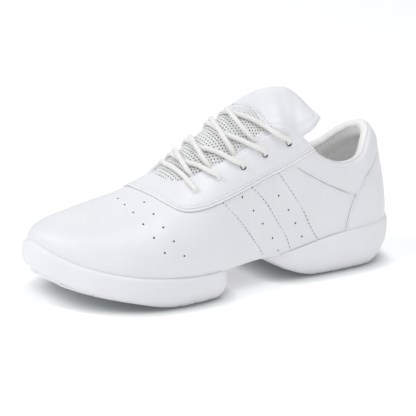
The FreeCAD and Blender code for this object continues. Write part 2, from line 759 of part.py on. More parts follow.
def heel_layer(gap, foot_around, low, start, outer, thickness, top=1.0):
    """Sheet from its bottom edge up to a gap below the heel seam, no higher than top.

    Rows go round the heel from the outer to the inner side; start is the first seam parameter.
    """
    params = spaced(start, 1, 14)
    rows = []
    for side, a in [(1, a) for a in params] + [(-1, a) for a in reversed(params[:-1])]:
        around, rise = heel_seam(a)
        foot = foot_around * max(1 - a, 0.0) ** .8
        rise = min(max(rise - gap, low + .012), top)
        around = max(around - gap * .4, 0.0)
        rows.append([(side * (foot + (around - foot) * b), low + (rise - low) * b)
                     for b in spaced(0, 1, 8)])
    return layer(rows, outer, outer - thickness)


save("heel_panel", heel_layer(.004, .2375, LOWEST_RISE, .02, FACE, LEATHER))
save("heel_counter", heel_layer(.030, .215, .030, .12, BACK - .06, COUNTER, top=.36))
save("heel_lining", heel_layer(.030, .215, .085, .14, BACK - .2 - COUNTER, LINING, top=.42))

# ---- tongue --------------------------------------------------------------------------------
# How far the tongue and lace sink below the ridge surface: mm over around
sag = Spline([.408, .43, .46, .50, .61], [5.4, 4.2, 2.2, .6, 0.0])


def tongue_grid(middle_offset, edge_offset, drop=0.0):
    """Points under the lacing: rows from the toe end back, across from inner to outer side."""
    rows = []
    for around in spaced(.612, .410, 15):
        edge_rise = .60 + .17 * max(0, (around - .47) / .14)
        row = []
        for b in spaced(-1, 1, 13):
            rise = 1 - (1 - edge_rise) * abs(b)
            offset = middle_offset + (edge_offset - middle_offset) * abs(b) ** 3 - sag(around)
            x, y, z = offset_point(math.copysign(around, b), rise, offset)
            row.append((x, y, z - drop))
        rows.append(row)
    return rows


FOAM_UNDERSIDE = (-5.0, -7.1)     # offsets at the middle and the edges
save("tongue_mesh", skin(tongue_grid(-1.5, -5.2), tongue_grid(-2.3, -6.0)))
save("tongue_foam", skin(tongue_grid(-2.4, -6.1), tongue_grid(*FOAM_UNDERSIDE)))
save("tongue_lining", skin(tongue_grid(*FOAM_UNDERSIDE, drop=.9),
                           tongue_grid(*FOAM_UNDERSIDE, drop=1.6)))

# Flap over the collar opening: x, z and half width from its front (0) to its rear edge (1)
FLAP_Y = -1.2              # middle of the flap
flap_x = Spline([0, .25, .5, .75, 1], [102.2, 96.4, 89, 81.0, 73.5], monotone=False)
flap_z = Spline([0, .25, .5, .75, 1], [106.0, 111.5, 115.5, 116.0, 111.5], monotone=False)
flap_half = Spline([0, .2, .5, .8, .93, 1], [17.0, 21.0, 25, 24, 21.5, 17.5], monotone=False)


def flap(outer, inner, reach=17.5):
    """Flap layer between two offsets: ruled loft over upright ribs that run fore and aft."""
    loops = []
    for y in spaced(-reach, reach, 23):
        inside = [p for p in spaced(0, 1, 201) if flap_half(p) >= abs(y) + .3]
        upper, lower = [], []
        for p in spaced(inside[0], inside[-1], 11):
            across = y / flap_half(p)
            x = flap_x(p) - 5.0 * across * across * (1 - p) ** 2
            z = flap_z(p) - 10.5 * abs(across) ** 2.2 * (.35 + .65 * min(1.0, p / .4))
            before, after = max(p - .02, 0), min(p + .02, 1)
            normal = unit((flap_z(after) - flap_z(before), 0, flap_x(before) - flap_x(after)))
            point = (x, y + FLAP_Y, z)
            upper.append(moved(point, normal, outer))
            lower.append(moved(point, normal, inner))
        loops.append(upper + lower[::-1])
    return ruled_loft(loops)


save("tongue_flap_leather", flap(1.6, .5, reach=20.5))
save("tongue_flap_foam", flap(.45, -1.3))
save("tongue_flap_lining", flap(-1.35, -1.95))


# ---- lace: one cord laced criss-cross through five eyelets a side --------------------------
def throat_point(k, side, offset, fraction):
    """Point just past the eyestay's upper edge, part of the way from eyelet k to k + 1."""
    start, end = EYELETS[k][0], EYELETS[k + 1][0]
    around = start + (end - start) * fraction
    rise = min((abs(throat(a)[0] - around), throat(a)[1]) for a in spaced(0, 1, 201))[1]
    return offset_point(side * around, rise + .012, offset)


def lace_arm(first_side):
    """From the bar's end at the toe eyelet, through each crossing, to the tucked tail."""
    around, rise = EYELETS[0]
    points = [offset_point(first_side * around, rise, offset) for offset in (1.2, -1.2)]
    over = 3.3 if first_side > 0 else 0.1       # one arm crosses above the other
    side = first_side
    for k in range(4):
        next_around, next_rise = EYELETS[k + 1]
        points.append(throat_point(k, side, -3.6, .22))
        points.append(throat_point(k, side, -1.6, .42))
        part = .48 if k < 3 else .22
        crossing = EYELETS[k][0] * (1 - part) + next_around * part
        sink = sag(crossing)
        points.append(offset_point(side * crossing, .90, .7 + over * .55 - sink))
        points.append(offset_point(side * (crossing - .006), 1.0, .7 + over - sink))
        points.append(offset_point(-side * (crossing - .010), .90, .7 + over * .55 - sink))
        if k == 3:
            points.append(offset_point(-side * .402, .70, -.6))
        points.append(offset_point(-side * (next_around + .010), next_rise + .075, 2.8))
        points.append(offset_point(-side * next_around, next_rise, 1.4))
        points.append(offset_point(-side * next_around, next_rise, -1.4))
        side = -side
    points.append(offset_point(side * .374, .585, -3.9))
    points.append(offset_point(side * .362, .64, -5.0))
    return points


# Straight bar across the toe end of the throat: around, rise, offset
LACE_BAR = [(.580, .70, 2.9), (.590, .84, 2.9), (.595, 1.0, 2.7), (-.590, .84, 2.9),
            (-.580, .70, 2.9)]
lace_path = lace_arm(1)[::-1] + [offset_point(*place) for place in LACE_BAR] + lace_arm(-1)
save("lace", tube(lace_path, LACE_RADIUS, 2.4))
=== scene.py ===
"""A split-sole lace-up leather shoe, 262 mm long.

Shapes are worked out in mm: x runs from the back of the heel (0) to the toe (262), +y is the
lateral side, z is up from the ground. Meshes are stored in metres about the frame's origin.
The upper lies on a "last" surface addressed by (w, t): |w| goes from 0 at the heel to 1 at the
toe, positive on the lateral side; t goes from 0 at the sole edge to 1 on the ridge.
"""
import json
import math
from collections import Counter
from contextlib import contextmanager

import bmesh
import bpy
import numpy as np
from mathutils import Matrix, Vector, kdtree
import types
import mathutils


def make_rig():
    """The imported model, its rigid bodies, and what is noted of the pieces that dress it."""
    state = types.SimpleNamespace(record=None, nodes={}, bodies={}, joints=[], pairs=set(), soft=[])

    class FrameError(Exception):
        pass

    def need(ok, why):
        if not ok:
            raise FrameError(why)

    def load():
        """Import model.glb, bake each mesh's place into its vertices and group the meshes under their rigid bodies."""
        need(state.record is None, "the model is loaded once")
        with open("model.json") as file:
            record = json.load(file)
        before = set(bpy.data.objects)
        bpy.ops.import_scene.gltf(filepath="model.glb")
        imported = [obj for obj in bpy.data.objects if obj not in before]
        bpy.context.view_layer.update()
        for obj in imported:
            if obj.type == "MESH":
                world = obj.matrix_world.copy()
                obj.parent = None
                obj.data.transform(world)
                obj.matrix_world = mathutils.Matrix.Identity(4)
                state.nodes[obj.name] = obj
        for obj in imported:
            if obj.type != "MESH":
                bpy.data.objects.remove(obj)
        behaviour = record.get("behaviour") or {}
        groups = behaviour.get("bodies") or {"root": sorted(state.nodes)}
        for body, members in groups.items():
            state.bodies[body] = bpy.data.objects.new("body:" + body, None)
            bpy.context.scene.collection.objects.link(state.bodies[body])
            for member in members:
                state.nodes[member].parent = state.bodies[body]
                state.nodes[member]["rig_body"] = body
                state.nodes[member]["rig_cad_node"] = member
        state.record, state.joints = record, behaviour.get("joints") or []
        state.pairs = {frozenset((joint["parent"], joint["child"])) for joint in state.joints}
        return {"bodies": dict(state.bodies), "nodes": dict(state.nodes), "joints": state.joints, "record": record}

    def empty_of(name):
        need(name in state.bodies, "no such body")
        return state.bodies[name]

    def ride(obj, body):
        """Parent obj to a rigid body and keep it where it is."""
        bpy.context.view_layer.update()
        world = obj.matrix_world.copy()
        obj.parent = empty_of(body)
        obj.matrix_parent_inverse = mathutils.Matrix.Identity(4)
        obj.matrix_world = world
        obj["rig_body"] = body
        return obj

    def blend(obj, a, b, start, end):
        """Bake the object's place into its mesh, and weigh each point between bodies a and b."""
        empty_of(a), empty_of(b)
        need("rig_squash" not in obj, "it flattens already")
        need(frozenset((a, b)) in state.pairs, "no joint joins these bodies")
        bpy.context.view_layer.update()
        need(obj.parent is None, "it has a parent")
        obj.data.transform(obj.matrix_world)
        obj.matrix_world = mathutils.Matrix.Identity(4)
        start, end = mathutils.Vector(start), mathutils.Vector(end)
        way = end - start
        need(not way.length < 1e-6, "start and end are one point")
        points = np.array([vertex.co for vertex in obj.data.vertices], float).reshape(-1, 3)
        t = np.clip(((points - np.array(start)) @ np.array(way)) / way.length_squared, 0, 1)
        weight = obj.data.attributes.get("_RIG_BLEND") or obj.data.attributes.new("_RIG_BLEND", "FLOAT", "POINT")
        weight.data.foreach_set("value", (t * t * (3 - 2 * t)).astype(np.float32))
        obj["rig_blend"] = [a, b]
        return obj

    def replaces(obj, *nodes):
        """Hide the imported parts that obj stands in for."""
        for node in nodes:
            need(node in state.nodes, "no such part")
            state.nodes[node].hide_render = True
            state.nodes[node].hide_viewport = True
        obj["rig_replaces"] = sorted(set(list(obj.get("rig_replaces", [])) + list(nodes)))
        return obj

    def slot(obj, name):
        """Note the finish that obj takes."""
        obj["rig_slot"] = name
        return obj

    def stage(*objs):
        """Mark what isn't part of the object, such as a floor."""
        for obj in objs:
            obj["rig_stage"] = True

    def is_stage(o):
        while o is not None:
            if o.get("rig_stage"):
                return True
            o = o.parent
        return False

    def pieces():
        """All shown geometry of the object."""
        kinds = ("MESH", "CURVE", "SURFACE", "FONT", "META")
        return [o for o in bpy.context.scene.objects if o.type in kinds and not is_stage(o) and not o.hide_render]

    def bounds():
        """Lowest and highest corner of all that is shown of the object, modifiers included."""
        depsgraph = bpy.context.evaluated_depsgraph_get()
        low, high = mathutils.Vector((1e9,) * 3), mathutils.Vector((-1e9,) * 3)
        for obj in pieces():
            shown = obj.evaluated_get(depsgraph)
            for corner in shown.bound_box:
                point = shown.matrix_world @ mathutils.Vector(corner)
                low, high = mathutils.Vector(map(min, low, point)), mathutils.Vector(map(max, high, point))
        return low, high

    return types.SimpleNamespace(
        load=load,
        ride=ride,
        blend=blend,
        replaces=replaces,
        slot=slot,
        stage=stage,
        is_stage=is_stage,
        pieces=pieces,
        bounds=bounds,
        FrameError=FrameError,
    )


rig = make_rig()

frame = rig.load()
cad_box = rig.bounds()
HEEL_TO_ORIGIN = 50.0
SIDES = ((1, "lateral"), (-1, "medial"))


# ============================================================ curves
class Spline:
    """Cubic through (x, y) stations, held at its end values beyond them."""

    def __init__(self, x, y, monotone=True):
        x, y = np.array(x, float), np.array(y, float)
        step = np.diff(x)
        rise = np.diff(y) / step
        slope = np.zeros(len(x))
        for i in range(1, len(x) - 1):
            before, after = step[i - 1], step[i]
            if not monotone:
                slope[i] = (rise[i - 1] * after + rise[i] * before) / (before + after)
            elif rise[i - 1] * rise[i] > 0:
                a, b = 2 * after + before, after + 2 * before
                slope[i] = (a + b) / (a / rise[i - 1] + b / rise[i])
        slope[0], slope[-1] = rise[0], rise[-1]
        self.x, self.y, self.slope, self.step = x, y, slope, step

    def __call__(self, x):
        x = np.clip(np.asarray(x, float), self.x[0], self.x[-1])
        i = np.clip(np.searchsorted(self.x, x, side="right") - 1, 0, len(self.step) - 1)
        h = self.step[i]
        t = (x - self.x[i]) / h
        return (self.y[i] * (1 + 2 * t) * (1 - t) ** 2 + self.slope[i] * h * t * (1 - t) ** 2
                + self.y[i + 1] * t * t * (3 - 2 * t) + self.slope[i + 1] * h * t * t * (t - 1))


def loose(x, y):
    """A spline that may overshoot its stations."""
    return Spline(x, y, monotone=False)


def running_length(points, power=1.0):
    chords = np.linalg.norm(np.diff(points, axis=0), axis=1) ** power
    return np.concatenate([[0], np.cumsum(chords)])


def interp_points(at, known, points):
    return np.stack([np.interp(at, known, column) for column in points.T], -1)


def unit(v):
    return v / np.maximum(np.linalg.norm(v, axis=-1, keepdims=True), 1e-12)


def bump(x, at, width):
    return np.exp(-((x - at) / width) ** 2)


class ClosedCurve:
    """Periodic cubic through plan points; the parameter 0..1 follows root chord length."""

    def __init__(self, points):
        P, n = np.array(points + [points[0]], float), len(points)
        u = running_length(P, .5)
        u /= u[-1]
        h = np.diff(u)
        A, B = np.zeros((n, n)), np.zeros((n, 2))
        for i in range(n):
            A[i, (i - 1) % n] += h[i - 1] / 6
            A[i, i] += (h[i - 1] + h[i]) / 3
            A[i, (i + 1) % n] += h[i] / 6
            B[i] = (P[i + 1] - P[i]) / h[i] - (P[i] - P[i - 1 if i else n - 1]) / h[i - 1]
        bend = np.linalg.solve(A, B)
        self.bend = np.vstack([bend, bend[:1]])
        self.u, self.P, self.h, self.n = u, P, h, n

    def __call__(self, t):
        t = np.asarray(t, float) % 1.0
        i = np.clip(np.searchsorted(self.u, t, side="right") - 1, 0, self.n - 1)
        h = self.h[i]
        a = (self.u[i + 1] - t) / h
        b = 1 - a
        return [a * self.P[i, k] + b * self.P[i + 1, k]
                + ((a ** 3 - a) * self.bend[i, k] + (b ** 3 - b) * self.bend[i + 1, k]) * h * h / 6
                for k in range(2)]


# ============================================================ the last
# Plan outline (x, y): lateral side heel to toe, the tip, medial side back to the heel.
LATERAL_PLAN = [
    (0, 0), (1.5, 9.5), (7, 19.5), (17, 27), (30, 31.5), (45, 33.3), (62, 34), (80, 34),
    (98, 34.2), (115, 35.5), (135, 38.8), (155, 43.2), (172, 46), (187, 46.8), (202, 45.6),
    (217, 41.5), (230, 34.8), (241, 26.5), (250, 16.5), (256.5, 6.5), (260.5, -3)]
TIP = (262, -11)
MEDIAL_PLAN = [
    (260.8, -19.5), (257, -27), (250, -34), (241, -39.5), (229, -44), (216, -46.5),
    (202, -47.5), (187, -46.5), (171, -43), (155, -37.5), (135, -31), (115, -27.5),
    (98, -27.5), (80, -29.5), (62, -31.5), (45, -32.5), (30, -31), (17, -27), (7, -19.5),
    (1.5, -9.5)]
PLAN = ClosedCurve(LATERAL_PLAN + [TIP] + MEDIAL_PLAN)
TIP_U = float(PLAN.u[len(LATERAL_PLAN)])

SPINE_REAR, SPINE_FRONT, SPINE_EASE = 36.0, 214.0, 7.0    # x range of the spine the sections fan from
WALL_INSET = 3.0                                # sole outline to the foot of the upper
SPINE_Y = loose([0, 36, 80, 100, 120, 160, 200, 214, 262],
                [0, 0, -2.5, -4, -5, -5.5, -6, -7, -11])
FOOT_Z = Spline(                                # height of the upper's lower edge
    [0, 2, 6, 14, 30, 60, 72, 85, 97, 108, 120, 135, 160, 200, 225, 245, 256, 262],
    [30.6, 28.6, 27.5, 27.2, 27.1, 25.1, 23.3, 20.7, 18.8, 18.1, 18.5, 18, 17, 19.5, 22.5,
     26.5, 30.5, 33.5])
RIDGE_Z = loose([36, 70, 95, 107, 122, 137, 152, 166, 180, 195, 214, 235, 262],
                [118, 121, 117, 112, 103.3, 93.5, 84.0, 75.2, 67.6, 61.7, 53.9, 43.5, 33])
MEDIAL_FLATTEN = Spline([96, 112, 130, 150, 166, 182, 198, 211, 224],
                        [0, .35, .85, 1.15, 1.2, 1.1, .7, .25, 0])
# Control points of the quartic wall section, by x.
SECTION_X = [0, 15, 40, 80, 110, 140, 180, 215, 240, 262]
BULGE = Spline(SECTION_X, [0.8, 0.8, 1.2, 2, 3.5, 4.5, 4.5, 3.5, 2.0, 1.0])
BULGE_RISE = Spline(SECTION_X, [.25, .25, .25, .28, .30, .32, .33, .36, .38, .40])
SHOULDER_REACH = Spline(SECTION_X, [.66, .67, .84, .95, .93, .92, .91, .91, .90, .90])
SHOULDER_RISE = Spline(SECTION_X, [.60, .60, .65, .70, .76, .79, .82, .85, .86, .88])
CROWN_REACH = Spline(SECTION_X, [.48, .48, .56, .58, .52, .50, .50, .50, .50, .52])

shares = np.linspace(0, 1, 4001)
lateral_x, lateral_y = PLAN(shares * TIP_U)
medial_x, medial_y = (v[::-1] for v in PLAN(np.linspace(TIP_U, 1.0, 8001)))


def lateral_edge(x):
    return np.interp(x, lateral_x, lateral_y)


def medial_edge(x):
    return np.interp(x, medial_x, medial_y)


def midline(x):
    return (lateral_edge(x) + medial_edge(x)) / 2


def half_width(x):
    return (lateral_edge(x) - medial_edge(x)) / 2


def soft_positive(x):
    return SPINE_EASE * np.logaddexp(0, x / SPINE_EASE)


def spoke(w):
    """Outline x, spine (x, y), vector from spine to outline and slope of the ridge there."""
    x, y = PLAN(np.abs(w) * TIP_U)
    y = np.where((w < 0) & (np.abs(w) < .99999), medial_edge(x), y)
    spine_x = SPINE_FRONT - soft_positive(
        SPINE_FRONT - SPINE_REAR - soft_positive(x - SPINE_REAR))
    spine_y = SPINE_Y(spine_x)
    slope = RIDGE_Z(spine_x + .5) - RIDGE_Z(spine_x - .5)
    return x, spine_x, spine_y, np.stack([x - spine_x, y - spine_y], -1), slope


def point(w, t):
    w, t = np.broadcast_arrays(np.asarray(w, float), np.asarray(t, float))
    x, spine_x, spine_y, out, slope = spoke(w)
    dist = np.hypot(out[..., 0], out[..., 1])
    dx, dy = out[..., 0] / dist, out[..., 1] / dist
    reach = dist - WALL_INSET
    foot, ridge = FOOT_Z(x), RIDGE_Z(spine_x)
    rise = ridge - foot
    crown = CROWN_REACH(x) * reach
    flat = np.where(w < 0, MEDIAL_FLATTEN(x), 0.0)
    radii = [reach, reach + BULGE(x) * (1 - .8 * flat),
             reach * SHOULDER_REACH(x) * (1 - .10 * flat), crown, 0 * reach]
    heights = [foot, foot + BULGE_RISE(x) * rise,
               foot + SHOULDER_RISE(x) * rise * (1 - .31 * flat),
               ridge + slope * dx * crown * .9, ridge]
    weights = [(1 - t) ** 4, 4 * t * (1 - t) ** 3, 6 * t * t * (1 - t) ** 2,
               4 * t ** 3 * (1 - t), t ** 4]
    r = sum(a * b for a, b in zip(weights, radii))
    z = sum(a * b for a, b in zip(weights, heights))
    return np.stack([spine_x + dx * r, spine_y + dy * r, z], -1)


def normal(w, t):
    w, t = np.broadcast_arrays(np.asarray(w, float), np.asarray(t, float))
    dw, dt = .004, .01
    inner_t = np.clip(t, .01, .975)
    at_tip = np.abs(w) > 1 - dw
    inner_w = np.where(at_tip, np.sign(w) * (1 - dw), w)
    n = unit(np.cross(point(inner_w, inner_t + dt) - point(inner_w, inner_t - dt),
                      point(inner_w + dw, inner_t) - point(inner_w - dw, inner_t)))
    _, _, _, out, slope = spoke(w)
    out = unit(out)
    outward = (n[..., :2] * out).sum(-1, keepdims=True)
    tip_n = unit(np.concatenate([outward * out, n[..., 2:]], -1))
    n = np.where((at_tip & (t < .95))[..., None], tip_n, n)
    ridge_n = unit(np.stack([-slope, 0 * slope, 0 * slope + 1], -1))
    share = np.clip((t - .95) / .05, 0, 1)[..., None]
    return unit(n * (1 - share) + ridge_n * share)


def offset(w, t, height):
    return point(w, t) + normal(w, t) * np.asarray(height, float)[..., None]


def surface_curve(stations):
    """(w, t) stations to a function of 0..1, close to arc length on the surface."""
    stations = np.array(stations, float)
    s = running_length(stations * [2.2, 1])
    s /= s[-1]
    w_at, t_at = loose(s, stations[:, 0]), loose(s, stations[:, 1])
    fine = np.linspace(0, 1, 801)
    length = running_length(point(w_at(fine), t_at(fine)))

    def at(share):
        q = np.interp(np.asarray(share, float) * length[-1], length, fine)
        return np.stack([w_at(q), t_at(q)], -1)

    at.length = float(length[-1])
    return at


def surface_line(curve, side, count, start=0.0, end=1.0):
    """Points and normals along a surface curve."""
    w, t = curve(np.linspace(start, end, count)).T
    t = np.minimum(t, 1.0)
    return point(side * w, t), normal(side * w, t)


# ============================================================ pattern lines, (w, t)
EYESTAY_LOWER = [
    (.318, .480), (.356, .452), (.394, .433), (.430, .430), (.466, .433), (.500, .446),
    (.536, .467), (.560, .485), (.585, .512), (.606, .545), (.622, .592), (.632, .650),
    (.640, .720), (.646, .800), (.651, .880), (.655, 1.0)]
THROAT = [
    (.3188, .486), (.330, .522), (.342, .558), (.356, .600), (.370, .630), (.388, .641),
    (.406, .634), (.438, .640), (.478, .660), (.504, .680), (.540, .725), (.565, .752),
    (.586, .785), (.597, .830), (.603, .885), (.606, 1.0)]
COLLAR_TOP = [
    (.338, .512), (.318, .478), (.302, .442), (.280, .408), (.258, .390), (.236, .388),
    (.212, .398), (.186, .425), (.162, .468), (.134, .514), (.100, .546), (.05, .566),
    (.0, .572)]
COLLAR_LOWER = [(.358, .408), (.325, .348), (.290, .294), (.250, .246), (.2175, .214)]
HEEL_SEAM = [(.240, .0), (.2385, .055), (.2300, .145), (.2175, .214), (.190, .290),
             (.150, .355), (.110, .408), (.070, .445), (.035, .46), (.0, .465)]
STRIPES = [
    [(.436, .0), (.446, .050), (.470, .145), (.494, .250), (.518, .365), (.536, .462)],
    [(.368, .0), (.382, .083), (.408, .183), (.440, .310), (.470, .430)],
    [(.303, .0), (.320, .070), (.348, .208), (.378, .320), (.406, .428)]]
EYELETS = [(.578, .625), (.528, .592), (.478, .558), (.430, .542), (.374, .542)]
VAMP_HOLES = [
    [(.702, .983), (.706, .875), (.706, .750), (.704, .592), (.696, .433), (.682, .275)],
    [(.672, .917), (.672, .800), (.674, .650), (.670, .500), (.658, .358), (.640, .217)]]
SIDE_HOLES = [
    (.490, .400), (.468, .292), (.446, .200), (.420, .108), (.402, .030),
    (.426, .383), (.406, .308), (.382, .225), (.364, .150), (.346, .067)]

eyestay_lower, throat = surface_curve(EYESTAY_LOWER), surface_curve(THROAT)
collar_lower, heel_seam = surface_curve(COLLAR_LOWER), surface_curve(HEEL_SEAM)
stripes = [surface_curve(s) for s in STRIPES]


# ============================================================ meshes
def to_metres(points):
    return (np.asarray(points, float) - np.array([HEEL_TO_ORIGIN, 0, 0])) * .001


@contextmanager
def editing(mesh):
    bm = bmesh.new()
    bm.from_mesh(mesh)
    yield bm
    bm.to_mesh(mesh)
    bm.free()
    mesh.update()


def shade_smooth(mesh, sharp):
    mesh.polygons.foreach_set("use_smooth", np.ones(len(mesh.polygons), bool))
    if sharp:
        mesh.set_sharp_from_angle(angle=math.radians(sharp))


def new_mesh(name, verts, faces, materials, slot, sharp=42):
    """Mesh object from points in mm; materials is one name or several."""
    mesh = bpy.data.meshes.new(name)
    mesh.from_pydata([tuple(v) for v in to_metres(verts)], [], [tuple(f) for f in faces])
    mesh.update()
    piece = bpy.data.objects.new(name, mesh)
    bpy.context.scene.collection.objects.link(piece)
    for material in [materials] if isinstance(materials, str) else materials:
        mesh.materials.append(MAT[material])
    shade_smooth(mesh, sharp)
    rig.slot(piece, slot)
    return piece


def fix_normals(piece, merge=0.0):
    with editing(piece.data) as bm:
        if merge:
            bmesh.ops.remove_doubles(bm, verts=bm.verts, dist=merge)
            bmesh.ops.dissolve_degenerate(bm, dist=1e-7, edges=bm.edges)
        bmesh.ops.recalc_face_normals(bm, faces=bm.faces)


def loft(rows, caps=True, ring=False):
    """Skin over closed loops (n x m x 3); ring joins the last loop to the first."""
    n, m = rows.shape[:2]
    faces = []
    for i in range(n if ring else n - 1):
        a, b = i * m, (i + 1) % n * m
        for j in range(m):
            k = (j + 1) % m
            faces.append((a + j, a + k, b + k, b + j))
    if caps and not ring:
        faces.append(tuple(range(m))[::-1])
        faces.append(tuple((n - 1) * m + j for j in range(m)))
    return rows.reshape(-1, 3), faces


def shell(outer, inner):
    """Closed thin shell between two point grids of one layout (n x m x 3)."""
    n, m = outer.shape[:2]
    N = n * m
    faces = []
    for i in range(n - 1):
        for j in range(m - 1):
            a, b, c, d = i * m + j, i * m + j + 1, (i + 1) * m + j + 1, (i + 1) * m + j
            faces += [(a, b, c, d), (N + d, N + c, N + b, N + a)]
    for i in range(n - 1):
        a, d = i * m, (i + 1) * m
        faces.append((a, d, N + d, N + a))
        a, d = a + m - 1, d + m - 1
        faces.append((d, a, N + a, N + d))
    last = (n - 1) * m
    for j in range(m - 1):
        faces.append((j + 1, j, N + j, N + j + 1))
        faces.append((last + j, last + j + 1, N + last + j + 1, N + last + j))
    return np.concatenate([outer.reshape(-1, 3), inner.reshape(-1, 3)]), faces


def shell_piece(name, outer, inner, materials, slot, merge=0.0):
    piece = new_mesh(name, *shell(outer, inner), materials, slot)
    fix_normals(piece, merge)
    return piece


def ring_points(centre, u, v, radius_u, radius_v, angles):
    return (centre + (np.cos(angles) * radius_u)[:, None] * u
            + (np.sin(angles) * radius_v)[:, None] * v)


def tube_piece(name, path, radius, sides, material, slot, closed=False, sharp=42):
    """Tube along a path; radius is a number or a function of (step, angles)."""
    if closed:
        tangents = unit(np.roll(path, -1, 0) - np.roll(path, 1, 0))
    else:
        tangents = unit(np.gradient(path, axis=0))
    across = np.array([0, 0, 1.0])
    angles = np.linspace(0, 2 * np.pi, sides, endpoint=False)
    rows = []
    for i, (p, tangent) in enumerate(zip(path, tangents)):
        across = unit(across - (across @ tangent) * tangent)
        r = radius(i, angles) if callable(radius) else radius
        rows.append(ring_points(p, across, np.cross(tangent, across), r, r, angles))
    verts, faces = loft(np.array(rows), ring=closed)
    return new_mesh(name, verts, faces, material, slot, sharp)


def smooth_path(points, step):
    points = np.asarray(points, float)
    s = running_length(points, .5)
    fine = np.linspace(0, s[-1], 6000)
    path = np.stack([loose(s, column)(fine) for column in points.T], -1)
    length = running_length(path)
    count = max(3, int(length[-1] / step))
    return interp_points(np.linspace(0, length[-1], count), length, path)


def both_sides(steps):
    """(side, step) up the lateral side and back down the medial one."""
    return [(1, a) for a in steps] + [(-1, a) for a in steps[::-1][1:]]


def grid(x, y, z):
    return np.stack(np.broadcast_arrays(x, y, z), -1)


def grid_normals(points):
    return unit(np.cross(np.gradient(points, axis=1), np.gradient(points, axis=0)))


def edge_round(dist, height, radius):
    """Height over an edge rounding up to full within about the radius."""
    return height * (1 - np.exp(-(np.maximum(dist, 0) / radius) ** 1.3))


def along_surface(direction, normals):
    return unit(direction - (direction * normals).sum(-1, keepdims=True) * normals)


# ============================================================ stitches and the painted shade of needle holes
class Bits:
    """Small lofted bits gathered into one mesh."""

    def __init__(self):
        self.verts, self.faces, self.count = [], [], 0

    def add(self, rows):
        verts, faces = loft(np.array(rows))
        self.verts.append(verts)
        self.faces += [tuple(i + self.count for i in face) for face in faces]
        self.count += len(verts)

    def make(self, name, slot="upper_leather", material="thread"):
        return new_mesh(name, np.concatenate(self.verts), self.faces, material, slot, sharp=0)


# Stitch profile: place along its length, share of full radius, share of full sink.
STITCH = [(-.5, .35, 1), (-.42, .8, .55), (-.22, 1, .12), (0, 1, 0), (.22, 1, .12),
          (.42, .8, .55), (.5, .35, 1.0)]
STITCH_RADIUS, STITCH_SINK = .27, .30
# Profile of the painted shade at a needle hole: height, share of full radius.
NEEDLE_SHADE_PROFILE = [(-.35, .5), (-.1, .95), (.02, 1.0), (.05, .6)]
NEEDLE_STRETCH = 1.35

stitch_gap_shade = Bits()
stripe_stitches, heel_stitches, eyestay_stitches = Bits(), Bits(), Bits()
tongue_stitches, flap_stitches = Bits(), Bits()


def spaced(line, normals, pitch):
    """Points, normals and tangents at equal steps along a line."""
    length = running_length(line)
    n = max(2, int(length[-1] / pitch))
    at = (np.arange(n) + .5) * length[-1] / n
    ahead, behind = (interp_points(at + d, length, line) for d in (.3, -.3))
    return zip(interp_points(at, length, line), unit(interp_points(at, length, normals)),
               unit(ahead - behind))


def sew(bits, line, normals, pitch, length, lift):
    """A row of short round-ended threads lying in the leather."""
    angles = np.linspace(0, 2 * np.pi, 7, endpoint=False)
    for p, n, tangent in spaced(line, normals, pitch):
        side = np.cross(tangent, n)
        bits.add([ring_points(p + tangent * a * length + n * (lift - STITCH_SINK * sink),
                              n, side, STITCH_RADIUS * k, STITCH_RADIUS * k, angles)
                  for a, k, sink in STITCH])


def prick(line, normals, pitch, radius):
    """Painted shade between the stitches of a row: small dark sunk marks at the needle holes."""
    angles = np.linspace(0, 2 * np.pi, 8, endpoint=False)
    for p, n, tangent in spaced(line, normals, pitch):
        p = p + tangent * pitch * .5
        stitch_gap_shade.add([ring_points(p + n * h, tangent, np.cross(tangent, n),
                                      radius * k * NEEDLE_STRETCH, radius * k, angles)
                          for h, k in NEEDLE_SHADE_PROFILE])


# ============================================================ materials
MAT = {}


def material_nodes(name):
    material = bpy.data.materials.new(name)
    material.use_nodes = True
    MAT[name] = material
    tree = material.node_tree
    return tree, tree.links.new, tree.nodes["Principled BSDF"]


def add_node(tree, kind, **settings):
    """New node; a setting is an input's value where one has that name, else a property."""
    node = tree.nodes.new("ShaderNode" + kind)
    for key, value in settings.items():
        if key in node.inputs:
            node.inputs[key].default_value = value
        else:
            setattr(node, key, value)
    return node


def set_inputs(node, **values):
    for key, value in values.items():
        node.inputs[key.replace("_", " ")].default_value = value


def mottle(tree, noise, shader, colour, shade, low, high):
    """Base colour drifting between a shaded and the full colour."""
    ramp = add_node(tree, "ValToRGB")
    dark, full = ramp.color_ramp.elements
    dark.position, full.position = low, high
    dark.color, full.color = (*[c * shade for c in colour], 1), (*colour, 1)
    tree.links.new(noise.outputs["Fac"], ramp.inputs["Fac"])
    tree.links.new(ramp.outputs["Color"], shader.inputs["Base Color"])


def vary_roughness(tree, noise, shader, low, high):
    span = add_node(tree, "MapRange", **{"To Min": low, "To Max": high})
    tree.links.new(noise.outputs["Fac"], span.inputs["Value"])
    tree.links.new(span.outputs["Result"], shader.inputs["Roughness"])


